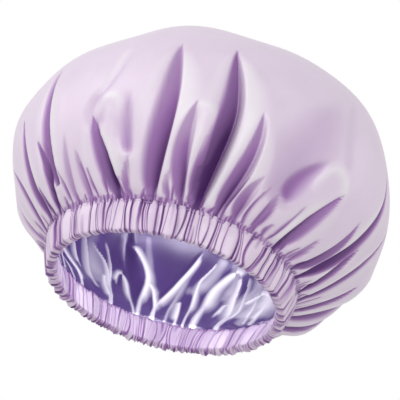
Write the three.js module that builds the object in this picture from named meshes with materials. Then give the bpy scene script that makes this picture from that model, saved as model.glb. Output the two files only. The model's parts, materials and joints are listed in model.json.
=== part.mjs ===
// A puffy satin shower cap: three round layers of cloth gathered into an elasticated brim.
// Millimetres, +Z up. The cap stands on its brim, with the origin at the middle of the opening.
// Angles round the cap are in degrees, 0 at the side that faces the viewer (-Y), growing towards +X.
import * as THREE from 'three';

// Brim
const OPENING_RADIUS = 80; // inside of the folded edge, between gathers
const BAND_FLARE = 18; // degrees that the brim leans out from upright
const CASING_THICKNESS = 0.5;
const SEAM_ALLOWANCE = 5.5; // cloth of the crown that is caught inside the casing
const GATHER_COUNT = 60;
const GATHER_DEPTH = 2.4; // how far a gather swells, half way up the brim
const GATHER_DEPTH_FOLD = 1.2; // the same at the folded edge
const GATHER_DEPTH_SEAM = 1; // the same at the seam
const ELASTIC_WIDTH = 15;
const ELASTIC_THICKNESS = 1;
const ELASTIC_OVERLAP = 16; // length over which the two ends lie on each other
const ELASTIC_JOIN = 180; // where the ends meet

// Crown
const DOME_RADIUS = 140;
const BULGE_HEIGHT = 90; // height of the widest ring
const CROWN_HEIGHT = 197;
const CROWN_LEAN = 5; // the crown sits this far towards +X of the brim
const SHELL_THICKNESS = 0.5;
const MEMBRANE_THICKNESS = 0.3;
const LINING_THICKNESS = 0.4;
const LAYER_GAP = 0.5;

// Sewing
const THREAD_DIAMETER = 0.4;
const SEAM_INSET = 2; // seam line below the casing's raw edges
const BARTACK_LENGTH = 10; // zigzag along the elastic's width
const BARTACK_WIDTH = 5;
const BARTACK_ZIGZAGS = 8;
const JOIN_INSET = 4; // the casing's end seam stops this far from both edges
const CLEARANCE = 0.4;
const EXIT_LENGTH = 1.5; // the crown's cloth runs on this far past the casing before it bends out

// Main folds of the crown, one a row, counted round the cap:
// angle at the brim, angle at the tip, height of the tip, depth
const FOLDS = [
  [-80, -73, 84, 9], [-68, -61, 114, 13], [-57, -55, 56, 7], [-44, -48, 47, 7], [-32, -38, 63, 14],
  [-24, -25, 70, 6], [-14, -13, 118, 17], [-3, -5, 72, 11], [7, 1, 123, 20], [16, 14, 76, 12],
  [23, 21, 48, 7], [32, 37, 74, 9], [43, 47, 68, 14], [52, 54, 46, 6], [61, 61, 97, 12],
  [80, 79, 76, 11], [92, 94, 50, 9], [103, 104, 108, 13], [115, 114, 70, 9], [129, 130, 124, 16],
  [142, 141, 66, 8], [156, 158, 104, 13], [169, 169, 62, 8], [183, 181, 130, 18], [196, 197, 72, 9],
  [209, 210, 100, 13], [223, 222, 64, 8], [237, 239, 122, 16], [251, 250, 78, 10], [266, 268, 104, 12],
].map(([brim, tip, height, depth]) => ({ brim, tip, height, depth }));

// Materials
const satin = new THREE.MeshStandardMaterial({ color: 0xd8c8e0, roughness: 0.35, metalness: 0 });
const liningSatin = new THREE.MeshStandardMaterial({ color: 0x8873b4, roughness: 0.3, metalness: 0 });
const film = new THREE.MeshStandardMaterial({ color: 0xe9e9ee, roughness: 0.25, metalness: 0 });
const elasticWeb = new THREE.MeshStandardMaterial({ color: 0xf2f0ee, roughness: 0.8, metalness: 0 });
const thread = new THREE.MeshStandardMaterial({ color: 0xcdb9d8, roughness: 0.6, metalness: 0 });

// The brim is drawn in its own section: "up" runs along its slant from the folded edge,
// "out" runs square to it, away from the axis, from the inner face of the elastic.
const flare = THREE.MathUtils.degToRad(BAND_FLARE);
const lapStep = ELASTIC_THICKNESS + CLEARANCE;
const elasticOut = ELASTIC_THICKNESS + lapStep;
const hemStack = SHELL_THICKNESS + MEMBRANE_THICKNESS + LINING_THICKNESS + 2 * LAYER_GAP;
const pocketWidth = Math.max(elasticOut + 3 * CLEARANCE + THREAD_DIAMETER, hemStack + 2 * CLEARANCE);
const channelIn = -CLEARANCE;
const channelOut = channelIn + pocketWidth;
const channelMiddle = (channelIn + channelOut) / 2;
const elasticLow = (CASING_THICKNESS + CLEARANCE + (elasticOut + CLEARANCE) * Math.sin(flare)) / Math.cos(flare);
const elasticHigh = elasticLow + ELASTIC_WIDTH;
const hemLow = elasticHigh + CLEARANCE + hemStack * Math.sin(flare);
const casingTop = hemLow + SEAM_ALLOWANCE;
const stitchLine = casingTop - SEAM_INSET;
const baseRadius = OPENING_RADIUS - (channelIn - CASING_THICKNESS) / Math.cos(flare);

function bandSection(up, out) {
  return {
    r: baseRadius + up * Math.sin(flare) + out * Math.cos(flare),
    z: up * Math.cos(flare) - out * Math.sin(flare),
  };
}

// The point of the section at a set height, for the flat folded edge
function bandAtHeight(z, out) {
  return bandSection((z + out * Math.sin(flare)) / Math.cos(flare), out);
}

function roundCap(degrees, r, z) {
  const turn = THREE.MathUtils.degToRad(degrees);
  return new THREE.Vector3(r * Math.sin(turn), -r * Math.cos(turn), z);
}

function bandPoint(degrees, up, out) {
  const { r, z } = bandSection(up, out);
  return roundCap(degrees, r, z);
}

// Triangles of two rings of points, where the first ring has as many points as the second or twice as many
function stitchRings(triangles, first, second) {
  const count = first.length;
  const share = count / second.length;
  for (let i = 0; i < count; i++) {
    const j = (i + 1) % count;
    const from = Math.floor(i / share);
    const to = Math.floor((i + 1) / share) % second.length;
    triangles.push([first[i], first[j], second[from]]);
    if (to !== from) triangles.push([first[j], second[to], second[from]]);
  }
}

function solid(name, points, triangles, material) {
  const geometry = new THREE.BufferGeometry();
  geometry.setAttribute('position', new THREE.Float32BufferAttribute(points.flatMap((p) => [p.x, p.y, p.z]), 3));
  geometry.setIndex(triangles.flat());
  geometry.computeVertexNormals();
  const mesh = new THREE.Mesh(geometry, material);
  mesh.name = name;
  return mesh;
}

// A closed loop of equal sections, each a ring of points
function loopOfSections(name, sections, material) {
  const size = sections[0].length;
  const points = sections.flat();
  const triangles = [];
  sections.forEach((section, i) => {
    const next = (i + 1) % sections.length;
    for (let k = 0; k < size; k++) {
      const l = (k + 1) % size;
      triangles.push([i * size + k, next * size + k, next * size + l]);
      triangles.push([i * size + k, next * size + l, i * size + l]);
    }
  });
  return solid(name, points, triangles, material);
}

// A run of equal sections with a flat cap at each end
function runOfSections(name, sections, material) {
  const size = sections[0].length;
  const points = sections.flat();
  const triangles = [];
  for (let i = 0; i + 1 < sections.length; i++) {
    for (let k = 0; k < size; k++) {
      const l = (k + 1) % size;
      triangles.push([i * size + k, (i + 1) * size + k, (i + 1) * size + l]);
      triangles.push([i * size + k, (i + 1) * size + l, i * size + l]);
    }
  }
  const last = (sections.length - 1) * size;
  for (let k = 1; k + 1 < size; k++) {
    triangles.push([0, k, k + 1]);
    triangles.push([last, last + k + 1, last + k]);
  }
  return solid(name, points, triangles, material);
}

// Brim casing: a folded strip whose two walls hold the elastic below and the crown's hem above.
// Every second column is a gather, where both walls swell away from the elastic.
function makeCasing() {
  const middle = (elasticLow + elasticHigh) / 2;
  const columns = 2 * GATHER_COUNT;
  const sections = [];
  for (let k = 0; k < columns; k++) {
    const swell = k % 2;
    const fold = swell * GATHER_DEPTH_FOLD;
    const belly = swell * GATHER_DEPTH;
    const seam = swell * GATHER_DEPTH_SEAM;
    const outline = [
      bandAtHeight(0, channelOut + CASING_THICKNESS + fold),
      bandSection(middle, channelOut + CASING_THICKNESS + belly),
      bandSection(casingTop, channelOut + CASING_THICKNESS + seam),
      bandSection(casingTop, channelOut + seam),
      bandAtHeight(CASING_THICKNESS, channelOut + fold),
      bandAtHeight(CASING_THICKNESS, channelIn - fold),
      bandSection(casingTop, channelIn - seam),
      bandSection(casingTop, channelIn - CASING_THICKNESS - seam),
      bandSection(middle, channelIn - CASING_THICKNESS - belly),
      bandAtHeight(0, channelIn - CASING_THICKNESS - fold),
    ];
    sections.push(outline.map(({ r, z }) => roundCap((360 * k) / columns, r, z)));
  }
  return loopOfSections('brim_casing', sections, satin);
}

// Elastic: one flat strip that winds once round and laps over its own start
function makeElastic() {
  const stepAngle = 5;
  const lapAngle = THREE.MathUtils.radToDeg(ELASTIC_OVERLAP / bandSection(elasticLow, 0).r);
  const steps = Math.ceil((360 + lapAngle) / stepAngle);
  const sections = [];
  for (let i = 0; i <= steps; i++) {
    const angle = Math.min(i * stepAngle, 360 + lapAngle);
    const inside = (lapStep * angle) / 360;
    const outside = inside + ELASTIC_THICKNESS;
    const corners = [[elasticLow, outside], [elasticHigh, outside], [elasticHigh, inside], [elasticLow, inside]];
    sections.push(corners.map(([up, out]) => bandPoint(ELASTIC_JOIN + angle, up, out)));
  }
  return runOfSections('elastic_band', sections, elasticWeb);
}

// Thread sections stand square to the path: one ring of four points round each place on the brim
const threadRadius = THREAD_DIAMETER / 2;

function threadAcross(degrees, up, out) {
  const sides = [[up - threadRadius, out], [up, out + threadRadius], [up + threadRadius, out], [up, out - threadRadius]];
  return sides.map(([u, o]) => bandPoint(degrees, u, o));
}

function threadAlong(degrees, up, out) {
  const halfAngle = THREE.MathUtils.radToDeg(threadRadius / bandSection(up, out).r);
  return [
    bandPoint(degrees - halfAngle, up, out),
    bandPoint(degrees, up, out - threadRadius),
    bandPoint(degrees + halfAngle, up, out),
    bandPoint(degrees, up, out + threadRadius),
  ];
}

// Zigzag that ties the two ends of the elastic, on the outer end's face
function makeBartack() {
  const lapAngle = THREE.MathUtils.radToDeg(ELASTIC_OVERLAP / bandSection(elasticLow, 0).r);
  const swingAngle = THREE.MathUtils.radToDeg(BARTACK_WIDTH / 2 / bandSection(elasticLow, 0).r);
  const start = (elasticLow + elasticHigh - BARTACK_LENGTH) / 2;
  const face = elasticOut + (lapStep * lapAngle) / 360 + CLEARANCE + threadRadius;
  const sections = [];
  for (let i = 0; i <= BARTACK_ZIGZAGS; i++) {
    const swing = i % 2 === 0 ? -swingAngle : swingAngle;
    const up = start + (BARTACK_LENGTH * i) / BARTACK_ZIGZAGS;
    sections.push(threadAlong(ELASTIC_JOIN + lapAngle / 2 + swing, up, face));
  }
  return runOfSections('elastic_bartack', sections, thread);
}

// Swell of a gather at a height between the middle of the brim and the seam
function swellAt(up) {
  const middle = (elasticLow + elasticHigh) / 2;
  const share = (up - middle) / (casingTop - middle);
  return GATHER_DEPTH + (GATHER_DEPTH_SEAM - GATHER_DEPTH) * share;
}

// Seam thread round the brim, over and between the gathers, on the outer (+1) or inner (-1) wall
function makeSeamThread(name, side) {
  const wall = side > 0 ? channelOut : channelIn;
  const columns = 2 * GATHER_COUNT;
  const sections = [];
  for (let k = 0; k < columns; k++) {
    const lift = CASING_THICKNESS + CLEARANCE + threadRadius + (k % 2) * swellAt(stitchLine);
    sections.push(threadAcross((360 * k) / columns, stitchLine, wall + side * lift));
  }
  return loopOfSections(name, sections, thread);
}

// Seam that closes the casing strip into a loop, down the inside between two gathers
function makeJoinThread() {
  const out = channelIn - CASING_THICKNESS - CLEARANCE - threadRadius;
  const low = JOIN_INSET;
  const high = stitchLine - JOIN_INSET;
  const sections = [low, high].map((up) => threadAlong(ELASTIC_JOIN, up, out));
  return runOfSections('casing_join_thread', sections, thread);
}

// Crown profile: a quarter ellipse above the widest ring, part of another one below it
const hemOut = channelMiddle + hemStack / 2;
const exit = bandSection(casingTop + EXIT_LENGTH, hemOut);
const lowerReach = (BULGE_HEIGHT - exit.z) / Math.sqrt(1 - (exit.r / DOME_RADIUS) ** 2);
const upperReach = CROWN_HEIGHT - BULGE_HEIGHT;
const bulgeCentre = new THREE.Vector3(0, 0, BULGE_HEIGHT);

function domeRadius(z) {
  const rise = (z - BULGE_HEIGHT) / (z > BULGE_HEIGHT ? upperReach : lowerReach);
  return DOME_RADIUS * Math.sqrt(1 - rise * rise);
}

function leanAt(z) {
  return CROWN_LEAN * THREE.MathUtils.smoothstep(z, exit.z, BULGE_HEIGHT);
}

// Depth of a fold at a height: none where the cloth leaves the seam, deepest low down, none at its tip
function foldDepth(fold, z) {
  const share = THREE.MathUtils.clamp((z - exit.z) / (fold.height - exit.z), 0, 1);
  return fold.depth * Math.sin(Math.PI * Math.sqrt(share));
}

function foldAngle(fold, z) {
  const share = THREE.MathUtils.clamp((z - exit.z) / (fold.height - exit.z), 0, 1);
  return fold.brim + (fold.tip - fold.brim) * share;
}

// One ring of the crown's outer face: a column in each fold and one on the ridge after it.
// Every second, then every fourth column goes on to the crown, where the folds have run out.
function crownRing(z, r, keepEvery) {
  const ring = [];
  FOLDS.forEach((fold, i) => {
    const next = FOLDS[(i + 1) % FOLDS.length];
    const wrap = i + 1 === FOLDS.length ? 360 : 0;
    const valley = foldAngle(fold, z);
    const ridge = (valley + foldAngle(next, z) + wrap) / 2;
    ring.push({ angle: valley, depth: foldDepth(fold, z) }, { angle: ridge, depth: 0 });
  });
  return ring.filter((_, i) => i % keepEvery === 0).map(({ angle, depth }) => {
    const point = roundCap(angle, r, z).add(new THREE.Vector3(leanAt(z), 0, 0));
    const reach = point.sub(bulgeCentre);
    return reach.setLength(reach.length() - depth);
  });
}

// Rows of the outer face, as arms from the middle of the widest ring: hem, exit, folds, then the smooth crown
function crownRows() {
  const hem = bandSection(hemLow, hemOut);
  const foldRows = [0.16, 0.4, 0.7, 1].map((share) => exit.z + (BULGE_HEIGHT - exit.z) * share);
  const upperRows = [0.29, 0.55].map((share) => BULGE_HEIGHT + upperReach * share);
  const smoothRows = [[0.78, 2], [0.93, 4]];
  return [
    crownRing(hem.z, hem.r, 1),
    crownRing(exit.z, exit.r, 1),
    ...[...foldRows, ...upperRows].map((z) => crownRing(z, domeRadius(z), 1)),
    ...smoothRows.map(([share, keep]) => {
      const z = BULGE_HEIGHT + upperReach * share;
      return crownRing(z, domeRadius(z), keep);
    }),
    [new THREE.Vector3(leanAt(CROWN_HEIGHT), 0, upperReach)],
  ];
}

// A cloth layer lies at a set depth below the outer face, measured along the arms, so no two layers cross
function makeLayer(name, depth, thickness, material) {
  const rows = crownRows();
  const points = [];
  const triangles = [];
  const skins = [depth, depth + thickness].map((below) => rows.map((row) => row.map((arm) => {
    points.push(arm.clone().setLength(arm.length() - below).add(bulgeCentre));
    return points.length - 1;
  })));
  skins.forEach((skin, inner) => {
    const faces = [];
    for (let i = 0; i + 2 < skin.length; i++) stitchRings(faces, skin[i], skin[i + 1]);
    const [apex] = skin[skin.length - 1];
    const top = skin[skin.length - 2];
    top.forEach((corner, i) => faces.push([corner, top[(i + 1) % top.length], apex]));
    triangles.push(...(inner ? faces.map(([a, b, c]) => [a, c, b]) : faces));
  });
  const hemFaces = [];
  stitchRings(hemFaces, skins[1][0], skins[0][0]);
  triangles.push(...hemFaces);
  return solid(name, points, triangles, material);
}

const membraneDepth = SHELL_THICKNESS + LAYER_GAP;
const liningDepth = membraneDepth + MEMBRANE_THICKNESS + LAYER_GAP;

const crown = new THREE.Group();
crown.add(makeLayer('outer_shell', 0, SHELL_THICKNESS, satin));
crown.add(makeLayer('waterproof_membrane', membraneDepth, MEMBRANE_THICKNESS, film));
crown.add(makeLayer('inner_lining', liningDepth, LINING_THICKNESS, liningSatin));

const brim = new THREE.Group();
brim.add(makeCasing());
brim.add(makeElastic());
brim.add(makeBartack());
brim.add(makeSeamThread('seam_needle_thread', 1));
brim.add(makeSeamThread('seam_bobbin_thread', -1));
brim.add(makeJoinThread());

const showerCap = new THREE.Group();
showerCap.name = 'shower_cap';
showerCap.add(crown, brim);

export default showerCap;
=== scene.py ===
# %% [markdown]
# # A puffy satin shower cap
# This lesson dresses a plain model of a shower cap in cloth. The plain model comes first: it fixes where the
# brim, the crown and the sewing are, and which body each of them moves with. Every piece that is made below
# takes its place from that frame, so nothing has to be fitted afterwards.

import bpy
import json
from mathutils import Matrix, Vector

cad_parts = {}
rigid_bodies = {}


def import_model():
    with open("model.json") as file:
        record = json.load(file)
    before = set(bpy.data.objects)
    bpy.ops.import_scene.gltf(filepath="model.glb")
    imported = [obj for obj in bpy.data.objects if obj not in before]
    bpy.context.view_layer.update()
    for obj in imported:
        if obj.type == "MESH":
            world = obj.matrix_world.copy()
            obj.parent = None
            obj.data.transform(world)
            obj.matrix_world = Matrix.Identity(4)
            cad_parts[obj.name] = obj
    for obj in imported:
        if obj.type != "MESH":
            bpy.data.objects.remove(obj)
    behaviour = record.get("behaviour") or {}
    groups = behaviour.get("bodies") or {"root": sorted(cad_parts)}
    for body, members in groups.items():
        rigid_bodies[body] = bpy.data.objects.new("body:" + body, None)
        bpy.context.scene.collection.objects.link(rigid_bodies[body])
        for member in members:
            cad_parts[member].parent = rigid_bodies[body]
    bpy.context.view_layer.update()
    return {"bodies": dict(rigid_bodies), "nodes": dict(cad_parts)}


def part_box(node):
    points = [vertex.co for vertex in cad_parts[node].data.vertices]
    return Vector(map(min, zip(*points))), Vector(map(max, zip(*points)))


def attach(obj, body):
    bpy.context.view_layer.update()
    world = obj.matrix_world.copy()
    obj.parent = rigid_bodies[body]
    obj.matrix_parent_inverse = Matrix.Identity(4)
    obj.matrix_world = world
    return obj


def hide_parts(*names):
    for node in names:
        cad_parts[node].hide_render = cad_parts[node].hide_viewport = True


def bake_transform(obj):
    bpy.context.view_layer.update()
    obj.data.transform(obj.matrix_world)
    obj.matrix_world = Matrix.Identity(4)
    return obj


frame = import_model()

# %% Libraries and units
import json
import math

import bpy
import numpy as np
from mathutils import Matrix, Vector

MM = 0.001
scene = bpy.context.scene
scene.view_settings.view_transform = "Standard"

# %% [markdown]
# ## The sizes that everything shares
# The crown is a squashed ball of cloth: a quarter ellipse above its widest ring and part of another below
# it, down to the seam. The brim is a short cone that opens upwards. Both could be typed in again, but reading
# them from the frame keeps the cloth true to it when a size changes.

# %% Crown and brim sizes
shell_low, shell_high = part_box("outer_shell")
shell_points = np.array([v.co for v in frame["nodes"]["outer_shell"].data.vertices])
casing_points = np.array([v.co for v in frame["nodes"]["brim_casing"].data.vertices])

crown_top = shell_high.z
crown_lean = shell_points[shell_points[:, 2].argmax(), 0]
bulge_radius = (shell_high.y - shell_low.y) / 2
bulge_height = shell_points[shell_points[:, 1].argmin(), 2]
opening_radius = np.hypot(casing_points[:, 0], casing_points[:, 1]).min()
casing_top = casing_points[:, 2].max()
print(f"crown {crown_top:.4f} high, {2 * bulge_radius:.4f} across at {bulge_height:.4f}")
print(f"crown leans {crown_lean:.4f}, opening radius {opening_radius:.4f}, brim top {casing_top:.4f}")

# %% [markdown]
# ## The camera
# The photograph looks up into the cap from in front, with the cap tipped to one side. The cap itself stands
# straight in its frame, so the camera takes the tilt: it sits low, looks up, and rolls.

# %% Camera
CAMERA_RISE = math.radians(31.0)
CAMERA_ROLL = math.radians(15.1)
CAMERA_DISTANCE = 1.1
CAMERA_ASIDE = 25.2 * MM
CAMERA_ABOVE = 67.8 * MM
LENS = 140.9

forward = Vector((0, math.cos(CAMERA_RISE), math.sin(CAMERA_RISE)))
level_right = Vector((1, 0, 0))
level_up = level_right.cross(forward)
right = math.cos(CAMERA_ROLL) * level_right + math.sin(CAMERA_ROLL) * level_up
up = right.cross(forward)
camera = bpy.data.objects.new("camera", bpy.data.cameras.new("camera"))
scene.collection.objects.link(camera)
camera.data.lens = LENS
eye = CAMERA_ASIDE * right + CAMERA_ABOVE * up - CAMERA_DISTANCE * forward
camera.matrix_world = Matrix.Translation(eye) @ Matrix((right, up, -forward)).transposed().to_4x4()
scene.camera = camera
print("camera at", [round(x, 3) for x in eye])

# %% [markdown]
# ## Rings and sheets
# All cloth here is made of rings of points round the cap, stacked from one edge to the other. A sheet of
# cloth has two such stacks, one for each face, closed along its raw edges, so that it has a real thickness.
# Near the middle of the crown a ring may have half as many points as the one below it, which keeps the faces
# from turning into slivers.

# %% Rings of points and faces
def round_cap(degrees, radius, height):
    """Points at angles round the cap, 0 on the viewer's side and growing to the viewer's right."""
    turn = np.radians(degrees)
    return np.stack([radius * np.sin(turn), -radius * np.cos(turn), height + 0 * turn], -1)


def ring_faces(lower, upper):
    """Faces between two rings of point numbers; the upper one has as many points as the lower one or half."""
    n = len(lower)
    after = np.roll(lower, -1)
    if len(upper) == n:
        return np.stack([lower, after, np.roll(upper, -1), upper], -1).tolist()
    here = np.repeat(upper, 2)
    there = np.roll(here, -1)
    faces = []
    for k in range(n):
        if here[k] == there[k]:
            faces.append([lower[k], after[k], here[k]])
        else:
            faces.append([lower[k], after[k], there[k], here[k]])
    return faces


# %% Meshes from points and faces
def new_piece(name, points, faces, uv=None, **values):
    """A smooth mesh object, with an optional cloth map in metres and values stored on its points."""
    mesh = bpy.data.meshes.new(name)
    mesh.from_pydata(np.asarray(points).tolist(), [], faces)
    corner = np.empty(len(mesh.loops), np.int32)
    mesh.loops.foreach_get("vertex_index", corner)
    if uv is not None:
        layer = mesh.uv_layers.new(name="cloth")
        layer.uv.foreach_set("vector", np.asarray(uv, np.float32)[corner].ravel())
    for key, value in values.items():
        attribute = mesh.attributes.new(key, "FLOAT", "POINT")
        attribute.data.foreach_set("value", np.asarray(value, np.float32))
    mesh.polygons.foreach_set("use_smooth", np.ones(len(mesh.polygons), bool))
    mesh.update()
    piece = bpy.data.objects.new(name, mesh)
    scene.collection.objects.link(piece)
    return piece


# %% Soft steps and hills
def smooth(low, high, x):
    """0 at low and 1 at high, with a soft run between them; low may be the larger one."""
    share = np.clip((x - low) / (high - low), 0, 1)
    return share * share * (3 - 2 * share)


def hill(x, middle, width):
    """A round hill, 1 high in the middle."""
    return np.exp(-(((x - middle) / width) ** 2))


# %% [markdown]
# ## The crown's resting form
# A flat disc of satin, 570 mm across, is drawn together round its edge. Measured along the cloth from the
# seam to the middle, its length stays the same, so the crown's profile is walked by length: rows lie close
# together at the seam, where the gathers are small, and further apart on the smooth top.

# %% Crown profile
EXIT_RADIUS = 91.2 * MM
EXIT_HEIGHT = 22.9 * MM
COLUMNS = 608
ROWS = 92
ROW_GRADING = 1.7
EVEN_SHARE = 0.4
WALK_STEPS = 4001

lower_reach = (bulge_height - EXIT_HEIGHT) / math.sqrt(1 - (EXIT_RADIUS / bulge_radius) ** 2)
upper_reach = crown_top - bulge_height
turns = np.linspace(-math.acos(EXIT_RADIUS / bulge_radius), math.pi / 2, WALK_STEPS)
walk_radius = bulge_radius * np.cos(turns)
walk_height = bulge_height + np.where(turns > 0, upper_reach, lower_reach) * np.sin(turns)
walk = np.concatenate([[0], np.cumsum(np.hypot(np.diff(walk_radius), np.diff(walk_height)))])
meridian = walk[-1]

steps = np.linspace(0, 1, ROWS + 1)[:-1]
row_length = meridian * (EVEN_SHARE * steps + (1 - EVEN_SHARE) * steps ** ROW_GRADING)
row_radius = np.interp(row_length, walk, walk_radius)
row_height = np.interp(row_length, walk, walk_height)
row_slope = np.arctan2(np.gradient(row_height, row_length), np.gradient(row_radius, row_length))
row_lean = crown_lean * smooth(EXIT_HEIGHT, bulge_height, row_height)
row_gap = np.diff(row_length)
print(f"cloth from seam to middle: {meridian:.4f}, rows {row_gap[0]:.4f} to {row_gap[-1]:.4f} apart")

# %% [markdown]
# ## The folds
# Folds start in the gathers at the seam and run up the crown until the cloth is smooth again. Seen from the
# front each one is a spindle: a broad wall that turns away from the light, and a narrow wall where the next
# ridge rolls over it. A simulation would place folds by chance; here the main ones are listed, because where
# they lie is what makes this cap this cap.
# A row holds the angle at the seam, half way and at the tip, the heights of both ends (0 is the seam), the
# width of the broad wall, its steepness, how soft the fold is, from 0, crisp, to 1, a shallow trough, and how
# dark a painted shade its wall gets, from 0 to 1. The broad wall is on the left, or on the right where its
# width is negative.

# %% Main folds, counted round the cap
FOLDS = [
    (-87, -80, -89, 0, 66, 9, 0.8, 0.1, 0.75),
    (-75, -70, -72, 0, 84, 9, 0.8, 0.0, 0.75),
    (-70, -69, -68, 0, 38, 4, 0.7, 0.1, 0.8),
    (-66, -60, -62, 0, 60, 7, 0.9, 0.0, 0.9),
    (-57, -56, -59, 32, 116, 11, 1.0, 0.0, 0.6),
    (-52, -49, -48, 0, 56, 6, 0.4, 0.5, 0.35),
    (-44, -43, -45, 0, 46, 6, 0.5, 0.4, 0.4),
    (-29.5, -32.5, -38, 0, 63, 13, 0.9, 0.0, 0.72),
    (-28.5, -29.5, -32, 0, 42, 5, 1.0, 0.0, 1.0),
    (-34, -34.5, -35, 50, 84, 13, 0.3, 1.0, 0.22),
    (-37, -33.5, -31, 72, 122, -10, 0.3, 0.3, 0.14),
    (-23, -24, -27, 40, 80, 13, 0.3, 1.0, 0.4),
    (-25, -24, -24, 0, 42, 6, 0.5, 0.5, 0.45),
    (-14.5, -12.5, -16, 0, 122, 18, 0.8, 0.0, 0.5),
    (-8, -8, -7, 0, 38, 5, 0.5, 0.3, 0.4),
    (-2.5, -4.5, -6, 0, 76, 11, 0.8, 0.0, 0.48),
    (3, 1.2, -0.5, 0, 68, -6, 0.7, 0.0, 0.8),
    (5, 6, 0, 0, 125, 20, 0.95, 0.0, 0.78),
    (13, 16, 12, 0, 80, 11, 0.85, 0.0, 0.55),
    (21, 21, 21, 0, 47, 9, 0.6, 0.3, 0.5),
    (30, 31, 27, 0, 46, 6, 0.6, 0.3, 0.5),
    (33, 35, 36.5, 40, 75, 17, 0.4, 1.0, 0.55),
    (33, 35, 36, 36, 122, 40, 0.06, 1.0, 0.2),
    (43, 43, 46, 0, 62, -13, 0.8, 0.0, 0.66),
    (43, 42.6, 43.2, 0, 42, -7, 0.9, 0.0, 1.0),
    (44, 41, 42, 70, 132, 12, 0.1, 0.8, 0.08),
    (54, 54, 53, 0, 39, -5, 0.7, 0.3, 0.5),
    (60, 61, 59, 0, 60, -9, 0.5, 0.2, 0.7),
    (67, 66, 63, 0, 107, -12, 0.9, 0.0, 0.9),
    (80, 74, 71, 0, 54, -9, 1.0, 0.0, 0.9),
    (88, 82, 81, 0, 86, -10, 1.0, 0.0, 0.9),
    (99, 97, 95, 0, 57, -9, 1.0, 0.0, 0.85),
    (107, 106, 105, 0, 110, -13, 0.85, 0.1, 0.75),
    (117, 116, 114, 0, 66, -8, 0.8, 0.1, 0.75),
    (129, 130, 130, 0, 122, 16, 0.85, 0.0, 0.55),
    (140, 139, 138, 0, 60, 7, 0.8, 0.3, 0.5),
    (142, 143, 146, 62, 112, 14, 0.3, 0.9, 0.35),
    (149, 148, 151, 0, 90, 12, 0.85, 0.1, 0.6),
    (157, 158, 157, 0, 64, 8, 0.8, 0.2, 0.6),
    (166, 161, 155, 0, 118, 13, 0.9, 0.0, 0.55),
    (180, 173, 166, 0, 120, 14, 0.9, 0.0, 0.6),
    (184, 190, 199, 0, 118, 14, 0.9, 0.0, 0.55),
    (195, 194, 196, 0, 66, 7, 0.8, 0.1, 0.6),
    (206, 201, 203, 0, 92, 11, 0.85, 0.0, 0.6),
    (211, 210, 208, 52, 98, 15, 0.3, 0.9, 0.35),
    (214, 212, 212, 0, 70, 8, 0.8, 0.1, 0.55),
    (224, 221, 216, 0, 100, 13, 0.85, 0.1, 0.6),
    (232, 232, 233, 0, 56, 6, 0.8, 0.3, 0.5),
    (241, 242, 246, 0, 114, 15, 0.85, 0.0, 0.55),
    (236, 235, 233, 60, 104, 12, 0.3, 0.9, 0.3),
    (252, 251, 250, 0, 74, 9, 0.8, 0.1, 0.6),
    (263, 264, 266, 0, 102, 12, 0.85, 0.1, 0.55),
]
print(len(FOLDS), "main folds")

# %% [markdown]
# Between the main folds the seam is full of short gathers. Nobody would miss a single one of them, so they
# come from a seeded loop.

# %% Short gathers at the seam
GATHER_COUNT = 92
GATHER_LOWEST = 26
GATHER_EXTRA = 24
GATHER_WIDTHS = (2.0, 3.8)
# steepness, softness and painted-shade darkness, the same for every gather
GATHER_FORM = (0.8, 0.25, 0.6)
dice = np.random.default_rng(11)
gathers = []
for k in range(GATHER_COUNT):
    angle = 360 * (k + dice.uniform(-0.35, 0.35)) / GATHER_COUNT - 180
    tip_height = GATHER_LOWEST + GATHER_EXTRA * dice.random() ** 2
    width = dice.uniform(*GATHER_WIDTHS)
    half_way = angle + dice.uniform(-0.3, 0.3)
    tip = angle + dice.uniform(-0.5, 0.5)
    gathers.append((angle, half_way, tip, 0, tip_height, width, *GATHER_FORM))
print(len(gathers), "short gathers")

# %% [markdown]
# A grid of straight columns would cut across slanted folds and leave their edges jagged. So the columns lean
# with the long folds, as the threads of gathered cloth do, and stand closer together along them.

# %% Columns that follow the long folds
GUIDE_WIDTH = 9
STRAIGHT_FROM = 0.75


def fold_track(fold):
    """How far along a fold each row of the crown is, whether it is on it, and the fold's angle there."""
    seam, middle, tip, low, high = fold[:5]
    low_length, high_length = np.interp([low * MM, high * MM], walk_height, walk)
    share = (row_length - low_length) / (high_length - low_length)
    along = np.clip(share, 0, 1)
    path = seam * (1 - along) * (1 - 2 * along) + 4 * middle * along * (1 - along)
    path = path + tip * along * (2 * along - 1)
    return along, (share >= 0) & (share <= 1), path


def turn_between(degrees, other):
    """The signed angle from the other direction to this one, from -180 to 180."""
    return (degrees - other + 180) % 360 - 180


guides = [fold for fold in FOLDS if fold[3] == 0 and abs(fold[5]) >= GUIDE_WIDTH]
guide_angle = np.array([fold[0] for fold in guides])
guide_drift = np.stack([fold_track(fold)[2] - fold[0] for fold in guides], -1)
guide_drift *= smooth(1.0, STRAIGHT_FROM, row_length / meridian)[:, None]
print(len(guides), "folds guide the columns")


# %% Columns spread round the cap
CROWDING = 1.5
CROWDED_DEGREES = 2.4
DENSE_STEPS = 7201


def spread_columns(count, density):
    """Angles of columns round the cap, closer together where the density is higher."""
    running = np.cumsum(density)
    running = (running - running[0]) / (running[-1] - running[0])
    return np.interp(np.arange(count) / count, running, dense_angle)


dense_angle = np.linspace(-180, 180, DENSE_STEPS)
crowd = sum(hill(turn_between(dense_angle, angle), 0, CROWDED_DEGREES) for angle in guide_angle)
seam_angle = spread_columns(COLUMNS, 1 + CROWDING * crowd)
column_drift = [np.interp(seam_angle, guide_angle, drift, period=360) for drift in guide_drift]
column_angle = seam_angle + np.stack(column_drift)
narrowest = np.diff(column_angle, axis=1).min()
print(f"{COLUMNS} columns at least {narrowest:.3f} degrees apart")
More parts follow.
